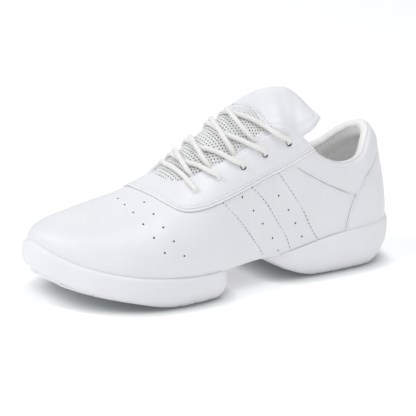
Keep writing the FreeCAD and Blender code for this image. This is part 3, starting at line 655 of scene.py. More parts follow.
def leather(name, colour, roughness=.42, grain=.18):
    tree, link, shader = material_nodes(name)
    coords = add_node(tree, "TexCoord").outputs["Object"]
    patches = add_node(tree, "TexNoise", Scale=45.0, Detail=4.0, Roughness=.6)
    link(coords, patches.inputs["Vector"])
    mottle(tree, patches, shader, colour, shade=.955, low=.3, high=.7)
    pebbles = add_node(tree, "TexVoronoi", Scale=1500.0, feature="SMOOTH_F1")
    pores = add_node(tree, "TexNoise", Scale=3300.0, Detail=3.0)
    waves = add_node(tree, "TexNoise", Scale=160.0, Detail=5.0, Roughness=.55)
    for texture in (pebbles, pores, waves):
        link(coords, texture.inputs["Vector"])
    height = add_node(tree, "Math", operation="MULTIPLY_ADD")
    link(pores.outputs["Fac"], height.inputs[0])
    height.inputs[1].default_value = .35          # share of the pores in the grain
    link(pebbles.outputs["Distance"], height.inputs[2])
    fine = add_node(tree, "Bump", Strength=grain, Distance=.00012)
    link(height.outputs[0], fine.inputs["Height"])
    broad = add_node(tree, "Bump", Strength=.22, Distance=.0006)
    link(waves.outputs["Fac"], broad.inputs["Height"])
    link(fine.outputs["Normal"], broad.inputs["Normal"])
    link(broad.outputs["Normal"], shader.inputs["Normal"])
    vary_roughness(tree, waves, shader, roughness - .05, roughness + .08)
    set_inputs(shader, Specular_IOR_Level=.45, Coat_Weight=.06, Coat_Roughness=.35,
               Subsurface_Weight=.06, Subsurface_Radius=(.002, .002, .002))


def textile(name, colour, gap_colour, pitch, roughness=.9, strength=.5, depth=.00025,
            sheen=.25, painted_glow=0.0):
    """Knit or weave: crossed bands set by a pitch in metres, darker in the gaps. A glow, if given, is painted light:
    the weave colour emitted to lift shaded insides.
    """
    tree, link, shader = material_nodes(name)
    coords = add_node(tree, "TexCoord").outputs["Object"]
    bands = []
    for axis, density in (("X", 1.0), ("Z", .8), ("Y", 1.0)):
        wave = add_node(tree, "TexWave", Scale=density / (pitch * 3.1416), Distortion=.6,
                        Detail=1.0, bands_direction=axis, wave_profile="SIN")
        link(coords, wave.inputs["Vector"])
        bands.append(wave.outputs["Fac"])
    crossed = add_node(tree, "Math", operation="MULTIPLY")
    link(bands[0], crossed.inputs[0])
    link(bands[1], crossed.inputs[1])
    weave = add_node(tree, "Math", operation="ADD")
    link(crossed.outputs[0], weave.inputs[0])
    link(bands[2], weave.inputs[1])
    fibres = add_node(tree, "TexNoise", Scale=4200.0, Detail=2.0)
    link(coords, fibres.inputs["Vector"])
    height = add_node(tree, "Math", operation="MULTIPLY_ADD")
    link(fibres.outputs["Fac"], height.inputs[0])
    height.inputs[1].default_value = .6           # share of the loose fibres
    link(weave.outputs[0], height.inputs[2])
    span = add_node(tree, "MapRange", **{"From Min": .2, "From Max": 2.0})
    link(height.outputs[0], span.inputs["Value"])
    mix = add_node(tree, "Mix", data_type="RGBA")
    mix.inputs[6].default_value = (*gap_colour, 1)
    mix.inputs[7].default_value = (*colour, 1)
    link(span.outputs["Result"], mix.inputs[0])
    link(mix.outputs[2], shader.inputs["Base Color"])
    relief = add_node(tree, "Bump", Strength=strength, Distance=depth)
    link(height.outputs[0], relief.inputs["Height"])
    link(relief.outputs["Normal"], shader.inputs["Normal"])
    set_inputs(shader, Roughness=roughness, Sheen_Weight=sheen, Sheen_Roughness=.5,
               Specular_IOR_Level=.25)
    # Painted light: a textile given a glow emits its own colour, though it is no lamp.
    if painted_glow:
        link(mix.outputs[2], shader.inputs["Emission Color"])
        set_inputs(shader, Emission_Strength=painted_glow)


def moulded(name, colour, roughness=.5, scale=900.0, strength=.12):
    """Foam, rubber or stiffener with a fine uneven skin."""
    tree, link, shader = material_nodes(name)
    coords = add_node(tree, "TexCoord").outputs["Object"]
    skin = add_node(tree, "TexNoise", Scale=scale, Detail=4.0, Roughness=.6)
    patches = add_node(tree, "TexNoise", Scale=30.0, Detail=3.0)
    for texture in (skin, patches):
        link(coords, texture.inputs["Vector"])
    mottle(tree, patches, shader, colour, shade=.965, low=.35, high=.65)
    relief = add_node(tree, "Bump", Strength=strength, Distance=.0002)
    link(skin.outputs["Fac"], relief.inputs["Height"])
    link(relief.outputs["Normal"], shader.inputs["Normal"])
    vary_roughness(tree, skin, shader, roughness - .06, roughness + .08)
    set_inputs(shader, Subsurface_Weight=.12, Subsurface_Radius=(.004, .004, .004))


leather("leather", (.812, .812, .843))
leather("trim", (.815, .815, .848), roughness=.38, grain=.14)
leather("piping", (.86, .86, .88), roughness=.34, grain=.08)
# Painted shade: near-black stands for the shade inside the punched holes and eyelets.
leather("hole", (.10, .10, .11), roughness=.9, grain=.05)
# Painted shade: dark grey for the needle holes between stitches.
leather("needle", (.17, .17, .18), roughness=.9, grain=.05)
# Painted shadow: mid grey for the dark lines beside folded edges and seams.
leather("seam", (.50, .50, .51), roughness=.9, grain=.05)
# Painted light: the lining glows a little to lighten its shaded inside.
textile("lining", (.92, .92, .91), (.82, .82, .805), pitch=.0011, painted_glow=.06)
textile("mesh", (.86, .86, .86), (.76, .76, .76), pitch=.0007, strength=.3, depth=.00012)
textile("mesh_under", (.74, .75, .75), (.64, .65, .65), pitch=.0009)
# Painted light: the sock glows a little to lighten the shaded inside of the shoe.
textile("sock", (.86, .88, .88), (.68, .70, .70), pitch=.0013, strength=.7, painted_glow=.04)
textile("lace", (.88, .875, .86), (.79, .785, .765), pitch=.0006, strength=.3, depth=.0001,
        sheen=.35)
textile("thread", (.80, .80, .81), (.66, .66, .67), pitch=.0004, roughness=.6, strength=.2,
        depth=.00005)
textile("board", (.62, .58, .50), (.50, .46, .39), pitch=.0015)
moulded("eva", (.815, .815, .845), roughness=.46)
moulded("rubber", (.76, .76, .785), roughness=.62, scale=1400.0, strength=.25)
moulded("stiff", (.72, .70, .66), roughness=.7)

# CAD nodes that stay, by a part of their name, and their material.
KEPT_NODES = {"board": "board", "outsole": "rubber", "toe_puff": "stiff",
              "heel_counter": "stiff"}
for node_name, node_object in frame["nodes"].items():
    for key, material in KEPT_NODES.items():
        if key in node_name:
            node_object.data.materials.clear()
            node_object.data.materials.append(MAT[material])

# ============================================================ bend zones
TOE_BEND = to_metres((190, 0, 20)), to_metres((222, 0, 20))
ARCH_MIDDLE, ARCH_DIRECTION = np.array([101.0, 0, 50.5]), np.array([-.746, 0, -.666])
ARCH_REACH = 10.5
ARCH_BEND = [to_metres(ARCH_MIDDLE + ARCH_DIRECTION * d) for d in (-ARCH_REACH, ARCH_REACH)]
FLAP_BEND = to_metres((107, 0, 106)), to_metres((96, 0, 110))


def blend(piece, body, zone):
    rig.blend(piece, "root", body, tuple(zone[0]), tuple(zone[1]))


# ============================================================ round holes
def punch(piece, centres, normals, radius, depth, cell, sides=14, lip=.12):
    """Cuts round blind holes into the outer face; centres in metres, sizes in mm.

    Returns the (centre, normal) pairs that found no clean patch of faces to cut.
    """
    missed = []
    with editing(piece.data) as bm:
        faces = list(bm.faces)
        middles = [face.calc_center_median() for face in faces]
        tree = kdtree.KDTree(len(faces))
        for i, middle in enumerate(middles):
            tree.insert(middle, i)
        tree.balance()
        for centre, axis in zip(centres, normals):
            centre, axis = Vector(centre), Vector(axis)
            patch = set()
            for _, i, _ in tree.find_range(centre, (radius + cell * 1.6) * .001):
                face = faces[i]
                if (not face.is_valid or face.normal.dot(axis) < .3
                        or abs((middles[i] - centre).dot(axis)) > .0012):
                    continue
                nearest = min((v.co - centre).length for v in face.verts)
                if (nearest < (radius + cell * .18) * .001
                        or (middles[i] - centre).length < (radius + .1) * .001):
                    patch.add(face)
            edge_uses = Counter(e for face in patch for e in face.edges)
            rim = [e for e, n in edge_uses.items() if n == 1 and len(e.link_faces) == 2]
            vert_uses = Counter(v for e in rim for v in e.verts)
            if len(rim) < 4 or any(n != 2 for n in vert_uses.values()):
                missed.append((centre, axis))
                continue
            bmesh.ops.delete(bm, geom=list(patch), context="FACES")
            rim = [e for e in rim if e.is_valid]
            u = axis.orthogonal().normalized()
            v = axis.cross(u)
            rings, ring_edges = [], []
            for r, height in ((radius + lip, 0.0), (radius, -.10), (radius, -depth)):
                ring = [bm.verts.new(centre + (u * math.cos(a) + v * math.sin(a)) * r * .001
                                     + axis * height * .001)
                        for a in [2 * math.pi * i / sides for i in range(sides)]]
                rings.append(ring)
                ring_edges.append([bm.edges.new((ring[i], ring[(i + 1) % sides]))
                                   for i in range(sides)])
            try:
                bmesh.ops.bridge_loops(bm, edges=rim + ring_edges[0])
            except Exception:
                pass          # guards against a rim that cannot be bridged to the lip
            # The deeper wall and the floor of each hole take the second material, the painted hole shade.
            for upper, lower, material in ((rings[0], rings[1], 0), (rings[1], rings[2], 1)):
                for i in range(sides):
                    k = (i + 1) % sides
                    wall = bm.faces.new((upper[i], upper[k], lower[k], lower[i]))
                    wall.material_index = material
            bm.faces.new(rings[2]).material_index = 1
        unused = [v for v in bm.verts if not v.link_faces]
        bmesh.ops.delete(bm, geom=unused, context="VERTS")
        bmesh.ops.recalc_face_normals(bm, faces=bm.faces)
        for face in bm.faces:
            face.smooth = True
    piece.data.set_sharp_from_angle(angle=math.radians(50))
    return missed


NUDGES = [(.3, 0), (0, .3), (-.3, 0), (0, -.3), (.6, 0), (0, .6), (-.6, 0)]


def punch_nudging(piece, centres, normals, **sizes):
    """Punches, then tries each missed hole again a little to the side."""
    for centre, axis in punch(piece, centres, normals, **sizes):
        u = axis.orthogonal().normalized()
        v = axis.cross(u)
        for along, across in NUDGES:
            moved = centre + (u * along + v * across) * .001
            if not punch(piece, [moved], [axis], **sizes):
                break


def hole_spots(stations, height=0.0):
    w, t = np.array(stations).T
    return to_metres(offset(w, t, height)), normal(w, t)


# ============================================================ upper skin
# Rows climb from the sole edge. A row's place is a running number: 0 toe, 1 vamp point,
# 2 front of the side panel, 3 to 5 the stitched stripes, 6 collar corner, 7 heel seam.
VAMP_POINT_W, COLLAR_FOOT_W = .660, .272
SIDE_FOOT_W = float(np.interp(150.0, lateral_x, shares))
ROW = np.concatenate([[0, .006, .016], np.linspace(.03, .965, 56), [.98, .991, 1.0]])
SKIN_THICKNESS = 1.25


def share_at(curve, value, column):
    """Where along a curve its w (column 0) or t (column 1) comes closest to a value."""
    q = np.linspace(0, 1, 2001)
    return float(q[np.argmin(np.abs(curve(q)[:, column] - value))])


def under_eyestay(share, rise=.010):
    return eyestay_lower(share) + np.array([0, rise])


def straight_row(foot_w, top):
    return np.stack([foot_w + (top[0] - foot_w) * ROW, top[1] * ROW], -1)


def pull_top(row, top):
    """Bends a row so that it ends at a given point."""
    return row + (top - row[-1]) * (ROW ** 3)[:, None]


top_shares = [share_at(eyestay_lower, w, 0) for w in (.552, .536, .470, .406, .358)]
key_rows = [straight_row(SIDE_FOOT_W, under_eyestay(top_shares[0]))] + [c(ROW) for c in stripes]
rear_stripe_row = pull_top(key_rows[3], under_eyestay(top_shares[3]))
corner_row = straight_row(COLLAR_FOOT_W, under_eyestay(top_shares[4], .008))
seam = heel_seam(np.linspace(0, share_at(heel_seam, .214, 1), 200))
heel_row = np.stack([np.interp(ROW, seam[:, 1] / seam[-1, 1], seam[:, 0]),
                     ROW * seam[-1, 1]], -1)


def skin_row(s):
    if s <= 1:
        return np.stack([np.full_like(ROW, 1 + (VAMP_POINT_W - 1) * s), ROW], -1)
    if s <= 2:
        q = s - 1
        top = under_eyestay(1 + (top_shares[0] - 1) * q)
        top[1] = min(top[1], 1.0)
        if q < .04:
            top = np.array([VAMP_POINT_W, 1.0]) * (1 - q / .04) + top * (q / .04)
        return straight_row(VAMP_POINT_W + (SIDE_FOOT_W - VAMP_POINT_W) * q ** .9, top)
    if s <= 5:
        i = int(min(s - 2, 2.99999))
        q = s - 2 - i
        share = top_shares[i] + (top_shares[i + 1] - top_shares[i]) * q
        return pull_top(key_rows[i] * (1 - q) + key_rows[i + 1] * q, under_eyestay(share))
    if s <= 6:
        q = s - 5
        share = top_shares[3] + (top_shares[4] - top_shares[3]) * q
        return pull_top(rear_stripe_row * (1 - q) + corner_row * q, under_eyestay(share))
    q = s - 6
    return pull_top(corner_row * (1 - q) + heel_row * q,
                    collar_lower(q) + np.array([0, .010 * (1 - q)]))


def clustered(start, end, count, around, spacing):
    """Even stations, with closer ones about the given places."""
    s = list(np.linspace(start, end, count))
    for k in around:
        for d in (.22, .45, .75, 1.2):
            s += [k - d / spacing, k + d / spacing]
        s.append(k)
    s = sorted(x for x in s if start <= x <= end)
    kept = [s[0]]
    for x in s[1:]:
        if x - kept[-1] > .10 / spacing or x == end:
            kept.append(x)
    return np.array(kept)


def tuck(t):
    """Pulls the lowest edge in behind the sole's lip."""
    return -1.1 * np.clip(1 - t / .012, 0, 1) ** 1.5


def unevenness(X):
    x, y, z = X[..., 0], X[..., 1], X[..., 2]
    return (.10 * np.sin(x * .115 + 1.3) * np.sin(z * .16 + y * .07)
            + .05 * np.sin(x * .31 + z * .23))


def groove_height(X, lines):
    """A groove along each line with a slight swelling beside it."""
    dist = np.full(X.shape[:-1], 99.0)
    for line in lines:
        for p in line:
            dist = np.minimum(dist, np.linalg.norm(X - p, axis=-1))
    return -.34 * bump(dist, 0, .42) + .12 * bump(dist, 1.6, .9)


def skin_grids(stations, side, grooves=()):
    wt = np.array([skin_row(s) for s in stations])
    w, t = side * wt[..., 0], wt[..., 1]
    X, N = point(w, t), normal(w, t)
    height = groove_height(X, grooves) + tuck(t) + unevenness(X) * np.clip(t * 8, 0, 1)
    return X + N * height[..., None], X + N * (height - SKIN_THICKNESS)[..., None]


side_stations = np.concatenate([clustered(2, 6, 84, around=(3, 4, 5), spacing=20.0),
                                6 + np.linspace(0, 1, 26)[1:]])
side_panels = []
for side, tag in SIDES:
    grooves = [surface_line(c, side, 260)[0] for c in stripes]
    panel = shell_piece("side_leather_" + tag, *skin_grids(side_stations, side, grooves),
                        ["leather", "hole"], "upper_leather")
    punch_nudging(panel, *hole_spots([(side * w, t) for w, t in SIDE_HOLES]),
                  radius=.62, depth=1.1, cell=1.1)
    side_panels.append(panel)
    for c in stripes:
        X, N = surface_line(c, side, 160, .015, .97)
        sew(stripe_stitches, X, N, pitch=2.9, length=1.9, lift=-.14)
        prick(X - N * .26, N, pitch=2.9, radius=.40)

# ---- toe and vamp: both sides in one closed mesh, joined along the ridge and the toe line
vamp_stations = np.concatenate([np.linspace(0, 1, 96), 1 + np.array([.006, .015, .03, .045]),
                                1 + np.linspace(.06, 1, 44)])


def join_halves(lateral, medial):
    return np.concatenate([lateral[::-1], medial[1:]])


# Grooves lie on the side panels only, so a far point stands in for them here.
FAR_AWAY = [[np.full(3, 1e6)]]
halves = [skin_grids(vamp_stations, side, FAR_AWAY) for side, _ in SIDES]
outer, inner = (join_halves(a, b) for a, b in zip(*halves))
vamp = new_mesh("vamp_leather", *shell(outer, inner), ["leather", "hole"], "upper_leather")
toe_row, columns = len(vamp_stations) - 1, len(ROW)
top_column, grid_size = columns - 1, len(outer) * columns
ridge_rows = int((vamp_stations <= 1.0).sum())


def on_ridge(vert):
    row = vert.index % grid_size // columns
    return (vert.index % columns == top_column
            and toe_row + 1 - ridge_rows <= row <= toe_row - 1 + ridge_rows)


with editing(vamp.data) as bm:
    bm.verts.ensure_lookup_table()
    partners = {}
    for base in (top_column, grid_size + top_column):
        for r in range(1, ridge_rows):
            medial_vert = bm.verts[(toe_row + r) * columns + base]
            partners[medial_vert] = bm.verts[(toe_row - r) * columns + base]
    # Drop the wall strip along the ridge, then weld the two halves there.
    wall = [f for f in bm.faces if len(f.verts) == 4 and all(on_ridge(v) for v in f.verts)]
    bmesh.ops.delete(bm, geom=wall, context="FACES")
    bmesh.ops.weld_verts(bm, targetmap=partners)
    bmesh.ops.dissolve_degenerate(bm, dist=2e-6, edges=bm.edges)
    bmesh.ops.recalc_face_normals(bm, faces=bm.faces)
shade_smooth(vamp.data, 42)
# The medial side goes without the two holes nearest the ridge in each row.
vamp_spots = [(side * w, t) for side, first in ((1, 0), (-1, 2))
              for row in VAMP_HOLES for w, t in row[first:]]
punch(vamp, *hole_spots(vamp_spots), radius=.62, depth=1.1, cell=1.15)

# ============================================================ heel panel
HEEL_STEPS = np.concatenate([np.linspace(0, .9, 26),
                             [.925, .945, .96, .972, .982, .99, .996, 1.0]])


def heel_foot_w(a):
    return .2385 * (1 - a) ** .8


def heel_grid(height):
    """Point grid at a height given by the distance in from the seam."""
    rows = []
    for side, a in both_sides(np.linspace(0, 1, 60)):
        seam_w, seam_t = heel_seam(a)
        foot_w = heel_foot_w(a)
        w = side * (foot_w + (seam_w - foot_w) * HEEL_STEPS)
        t = seam_t * HEEL_STEPS
        X = point(w, t)
        dist = np.linalg.norm(X - X[-1], axis=-1)
        rows.append(X + normal(w, t) * (height(dist) + tuck(t))[:, None])
    return np.array(rows)


heel_panel = shell_piece(
    "heel_panel_leather",
    heel_grid(lambda d: (.12 + edge_round(d, .62, .42) - .30 * bump(d, 2.0, .45)
                         + .25 * bump(d, 1.0, .6))),
    heel_grid(lambda d: -.5 - .6 * np.clip(d / 3, 0, 1)),
    "leather", "upper_leather", merge=2e-5)
for side, _ in SIDES:
    X, N = surface_line(heel_seam, side, 220, .03, .999)
    foot_w = heel_foot_w(np.linspace(.03, .999, 220))
    line = X + along_surface(unit(point(side * foot_w, 0) - X), N) * 2.0
    sew(heel_stitches, line + N * .42, N, pitch=2.7, length=1.7, lift=.05)
    prick(line + N * .44, N, pitch=2.7, radius=.27)

# ============================================================ collar
collar_top = surface_curve(COLLAR_TOP)
collar_foot = surface_curve([(.374, .455)] + COLLAR_LOWER + HEEL_SEAM[4:])
COLLAR_THICKNESS = Spline([0, .06, .18, .4, .7, 1.0], [2.4, 3.4, 6.2, 7.2, 7.6, 8.0])
LEATHER_STEPS, ROLL_STEPS = 26, 24
SEAM_STEP = 10                # step round the roll where the leather meets the lining
EDGE_STEPS = [0, .25, .6, 1.0, 1.5, 2.0, 2.6]
LINING_FOOT_T = .045
INSIDE = np.array([45.0, 0, 60.0])           # a point inside the collar


def collar_section(side, a):
    """Leather row, knitted lining row, and the point and outward direction of their seam."""
    low, top = collar_foot(a), collar_top(a)
    thick = float(COLLAR_THICKNESS(a))
    w, t = (low + (top - low) * np.linspace(0, 1, 60)[:, None]).T
    w = side * w
    X, N = point(w, t), normal(w, t)
    length = running_length(X)
    cut = max(length[-1] - thick * .46, length[-1] * .55)
    if cut > 5:
        q = np.concatenate([EDGE_STEPS, np.linspace(3.4, cut, LEATHER_STEPS - 7)])
    else:
        q = np.linspace(0, cut, LEATHER_STEPS)
    X, N = interp_points(q, length, X), unit(interp_points(q, length, N))
    puff = 1.25 * np.sin(np.pi * np.clip(q / cut, 0, 1) ** .8) ** .8 * min(1, a * 5 + .15)
    edge = -.55 * bump(q, 0, .55) - .42 * bump(q, 1.9, .45) * min(1, a * 8)
    wall = X + N * (puff + edge + .12)[:, None]

    # roll over the top
    up = unit(X[-1] - X[-3])
    out = unit(N[-1] - (N[-1] @ up) * up)
    centre = X[-1] - out * (thick * .5) + out * .12
    angles = np.linspace(0, np.pi, ROLL_STEPS + 1)
    roll = ring_points(centre, out, up, thick * .5, thick * .46, angles)
    leather_row = np.concatenate([wall, roll[1:SEAM_STEP + 1]])
    centre = roll[[0, -1]].mean(0)
    seam_point, seam_out = roll[SEAM_STEP], unit(roll[SEAM_STEP] - centre)

    # The lining swells out of the seam, goes over the roll, then down the inner face.
    roll = roll[SEAM_STEP:]
    share = np.linspace(0, 1, len(roll))
    swell = .05 + 1.1 * np.sin(np.pi * np.clip(share * 1.15, 0, 1)) ** .6
    roll = roll + unit(roll - centre) * swell[:, None]
    cut_t, cut_w = np.interp(cut, length, t), np.interp(cut, length, w)
    foot_w = side * abs(w[0]) * 1.02
    v = np.linspace(0, 1, 30)[1:]
    down_w, down_t = cut_w + (foot_w - cut_w) * v, cut_t + (LINING_FOOT_T - cut_t) * v
    X = point(down_w, down_t)
    dist, pad = running_length(X), max(cut, 6.0)
    k = np.clip(dist / (pad * 1.25), 0, 1)
    depth = (thick + (2.5 - thick) * (3 * k ** 2 - 2 * k ** 3)
             + 1.1 * np.sin(np.pi * np.clip(dist / pad, 0, 1)) * min(1, a * 4))
    lining_row = np.concatenate([roll, X - normal(down_w, down_t) * depth[:, None]])
    return leather_row, lining_row, seam_point, seam_out


sections = [collar_section(side, a) for side, a in both_sides(np.linspace(0, 1, 110))]
leather_grid, lining_grid, seam_line, seam_out = (np.array(part) for part in zip(*sections))

N = grid_normals(leather_grid)
quarter = len(leather_grid) // 4
if (N[quarter] * (leather_grid[quarter] - INSIDE)).sum() <= 0:
    N = -N
collar = shell_piece("collar_leather", leather_grid, leather_grid - N * 1.0, "leather",
                     "upper_leather")
N = grid_normals(lining_grid)
N = N * np.sign((N[60, 25] * (INSIDE - lining_grid[60, 25])).sum())
collar_lining = shell_piece("collar_lining_knit", lining_grid, lining_grid - N * .7, "lining",
                            "lining_textile")
collar_cord = tube_piece("collar_seam_cord", seam_line[2:-2] + seam_out[2:-2] * .10, .42, 8,
                         "thread", "trim_leather")
for side, _ in SIDES:
    X, N = surface_line(collar_foot, side, 240, .07, .999)
    top, _ = surface_line(collar_top, side, 240, .07, .999)
    line = X + along_surface(top - X, N) * 1.9
    sew(heel_stitches, line + N * .22, N, pitch=2.8, length=1.8, lift=.04)
    prick(line + N * .24, N, pitch=2.8, radius=.27)

# ============================================================ eyestay
STAY_STEPS = np.concatenate([[0, .006, .014, .024, .036], np.linspace(.052, .948, 30),
                             [.964, .976, .986, .994, 1.0]])
EYELET_RADIUS = 2.15


def eyestay_grid(height):
    """Grid from lower edge to throat; height takes distances to lower, throat, rear edges."""
    rows = []
    for side, a in both_sides(np.linspace(0, 1, 150)):
        low, high = eyestay_lower(a), throat(a)
        w, t = (low + (high - low) * STAY_STEPS[:, None]).T
        t = np.minimum(t, 1.0)
        X = point(side * w, t)
        length = running_length(X)
        rear = a * (eyestay_lower.length + throat.length) / 2
        lift = height(length, length[-1] - length, rear)
        rows.append(X + normal(side * w, t) * lift[:, None])
    return np.array(rows)


def stay_face(low, high, rear):
    edge = np.minimum(np.minimum(low, high), rear)
    return (.18 + edge_round(edge, .82, .5) - .30 * bump(low, 2.6, .5)
            - .26 * bump(high, 2.2, .5) + .18 * bump(low, 1.2, .7))


def stay_back(low, high, rear):
    return -.05 - 1.15 * np.clip(STAY_STEPS * 1.4 - .1, 0, 1)


eyestay = shell_piece("eyestay_leather", eyestay_grid(stay_face), eyestay_grid(stay_back),
                      ["trim", "hole"], "trim_leather", merge=1e-5)
punch(eyestay, *hole_spots([(side * w, t) for side, _ in SIDES for w, t in EYELETS], .95),
      radius=EYELET_RADIUS, depth=1.7, cell=1.15, sides=28, lip=.35)
for side, _ in SIDES:
    low, low_n = surface_line(eyestay_lower, side, 300, .03, .985)
    high, high_n = surface_line(throat, side, 300, .03, .985)
    across = unit(high - low)
    sew(eyestay_stitches, low + along_surface(across, low_n) * 2.6 + low_n * .66, low_n,
        pitch=2.7, length=1.9, lift=.06)
    line = high - along_surface(across, high_n) * 2.2 + high_n * .66
    sew(eyestay_stitches, line[8:], high_n[8:], pitch=2.7, length=1.9, lift=.06)

# ---- piping along the lower edge, and the line of its painted shadow beside it
piping_path, edge_path = [], []
for side, start, end, first in ((1, .004, 1, 0), (-1, 1, .004, 1)):
    a = np.linspace(start, end, 260)[first:]
    (w, t), (high_w, high_t) = eyestay_lower(a).T, throat(a).T
    t = np.minimum(t, 1)
    X, N = point(side * w, t), normal(side * w, t)
    inward = point(side * high_w, np.minimum(high_t, 1)) - X
    across = np.cross(unit(np.gradient(X, axis=0)), N)
    across = unit(across * np.sign((across * inward).sum(-1))[:, None])
    piping_path.append(X - across * .55 + N * .42)
    edge_path.append(X - across * 1.36 + N * .04)
edge_path = smooth_path(np.concatenate(edge_path)[::3], 1.0)
piping = tube_piece("eyestay_piping", smooth_path(np.concatenate(piping_path)[::3], .7),
                    lambda i, ang: .74 + .05 * np.sin(3 * ang + i * 1.1), 12,
                    "piping", "cord_trim")

# ============================================================ tongue
# Places on the tongue: mm forward along the ridge from w = .40, and mm across from the ridge.
TONGUE_LIFT = loose([.395, .42, .445, .47, .50, .56, .580, .594, .606, .625],
                    [-9.8, -5.0, -.3, 2.2, 2.1, 1.3, .7, -.3, -1.7, -2.0])   # mm by w
tongue_w, tongue_t = np.linspace(.400, .620, 60), np.linspace(1, .40, 160)
tongue_points = point(tongue_w[:, None], tongue_t[None, :])
across_mm = np.array([running_length(row) for row in tongue_points])
along_mm = running_length(tongue_points[:, 0])
TONGUE_LENGTH = float(along_mm[-1])
throat_w, throat_t = throat(np.linspace(0, 1, 601)).T
throat_w, throat_t = throat_w[throat_w > .385], throat_t[throat_w > .385]
throat_mm = np.array([np.interp(-np.interp(w, throat_w, throat_t), -tongue_t, row)
                      for w, row in zip(tongue_w, across_mm)])   # ridge to throat edge


def tongue_height(w, across):
    """Full under the laces, tucked in beneath the eyestay."""
    edge = np.maximum(np.interp(w, tongue_w, throat_mm), 5.0) + .6
    k = np.clip(across / edge, 0, 1)
    return (-1.55 + (TONGUE_LIFT(w) + 1.55) * (1 - k ** 2.3)
            - .8 * np.clip((across - edge - .4) / 2.2, 0, 1))


def tongue_wt(along, across):
    """Unsigned (w, t) of a place on the tongue."""
    w = np.interp(along, along_mm, tongue_w)
    row = np.clip((w - tongue_w[0]) / (tongue_w[1] - tongue_w[0]), 0, 58.999)
    i = row.astype(int)
    share = row - i
    t = np.empty(w.shape)
    for k in np.unique(i):
        m = i == k
        t[m] = (np.interp(across[m], across_mm[k], tongue_t) * (1 - share[m])
                + np.interp(across[m], across_mm[k + 1], tongue_t) * share[m])
    return w, t


def tongue_point(along, across, height):
    along, across = np.broadcast_arrays(np.asarray(along, float), np.asarray(across, float))
    w, t = tongue_wt(along, np.abs(across))
    return offset(np.where(across < 0, -w, w), t, height + tongue_height(w, np.abs(across)))


stations = np.linspace(0, 1, 13)
station_w = np.interp(stations * TONGUE_LENGTH, along_mm, tongue_w)
tongue_half = Spline(stations,
                     np.clip(np.interp(station_w, tongue_w, throat_mm) + 5.6, 13.0, 30.0))
TONGUE_START, TONGUE_END = .5, TONGUE_LENGTH - .5

# ---- open fabric: staggered square cells, each with an eight-sided hole
CELL_PITCH, CELL_HOLE, CELL_RIDGE = 2.15, .60, .84
FABRIC_THICKNESS = .55
row_count = int((TONGUE_END - TONGUE_START) / CELL_PITCH)
octagon = np.array([(math.cos(a), math.sin(a)) for a in np.arange(8) * math.pi / 4])
square = np.array([(1, 0), (1, 1), (0, 1), (-1, 1), (-1, 0), (-1, -1), (0, -1), (1, -1)], float)
cells = np.array([(TONGUE_START + (i + .5) * CELL_PITCH, (j + .5 * (i % 2)) * CELL_PITCH)
                  for i in range(row_count) for j in range(-13, 14)
                  if abs(j + .5 * (i % 2)) * CELL_PITCH < tongue_half(i / row_count) - 1.0])
layers = []
for shape, size, height in ((square, CELL_PITCH * .5, 0.0), (octagon, CELL_RIDGE, .20),
                            (octagon, CELL_HOLE, .10), (octagon, CELL_HOLE, -FABRIC_THICKNESS),
                            (square, CELL_PITCH * .5, -FABRIC_THICKNESS)):
    places = cells[:, None, :] + shape[None] * size
    layers.append(tongue_point(places[..., 0], places[..., 1], height).reshape(-1, 3))
faces = []
layer_size = len(cells) * 8
for first in range(0, layer_size, 8):
    for k in range(8):
        a, b = first + k, first + (k + 1) % 8
        for level in range(4):
            low = level * layer_size
            faces.append((low + a, low + b, low + layer_size + b, low + layer_size + a))
tongue_fabric = new_mesh("tongue_mesh_fabric", np.concatenate(layers), faces, "mesh", "mesh")
with editing(tongue_fabric.data) as bm:
    bmesh.ops.remove_doubles(bm, verts=bm.verts, dist=4e-5)
    bmesh.ops.recalc_face_normals(bm, faces=bm.faces)
shade_smooth(tongue_fabric.data, 50)


# ---- padding, back lining and the bound edges
def tongue_sheet(height):
    along = np.linspace(TONGUE_START - .3, TONGUE_END + .3, 70)
    half = tongue_half(np.linspace(0, 1, 70))
    return tongue_point(along[:, None], half[:, None] * np.linspace(-1, 1, 41)[None], height)


tongue_padding = shell_piece("tongue_padding", tongue_sheet(-1.0), tongue_sheet(-3.4),
                             "mesh_under", "foam")
tongue_lining = shell_piece("tongue_back_lining", tongue_sheet(-3.5), tongue_sheet(-4.2),
                            "lining", "lining_textile")
BINDING_WIDTH, BINDING_OVERHANG, BINDING_STITCH_INSET = 5.0, 1.0, 1.5
BINDING_STEPS = np.array([0, .05, .12, .25, .4, .5, .6, .75, .88, .95, 1.0])
along = np.linspace(TONGUE_START - .5, TONGUE_END + .5, 90)
edge = tongue_half(np.linspace(0, 1, 90)) + BINDING_OVERHANG
height = (.10 + edge_round(np.minimum(BINDING_STEPS, 1 - BINDING_STEPS) * BINDING_WIDTH, .55, .45)
          - .22 * bump(BINDING_STEPS * BINDING_WIDTH, BINDING_STITCH_INSET, .4))
for side, tag in SIDES:
    across = side * (edge[:, None] - BINDING_WIDTH * (1 - BINDING_STEPS)[None])
    binding = shell_piece("tongue_binding_" + tag,
                          tongue_point(along[:, None], across, height[None]),
                          tongue_point(along[:, None], across, -.6), "trim", "mesh")
    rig.ride(binding, "root")
    across = side * (edge - BINDING_WIDTH + BINDING_STITCH_INSET)
    X = tongue_point(along, across, .52)
    sew(tongue_stitches, X, unit(X - tongue_point(along, across, -1.0)),
        pitch=2.6, length=1.8, lift=.02)

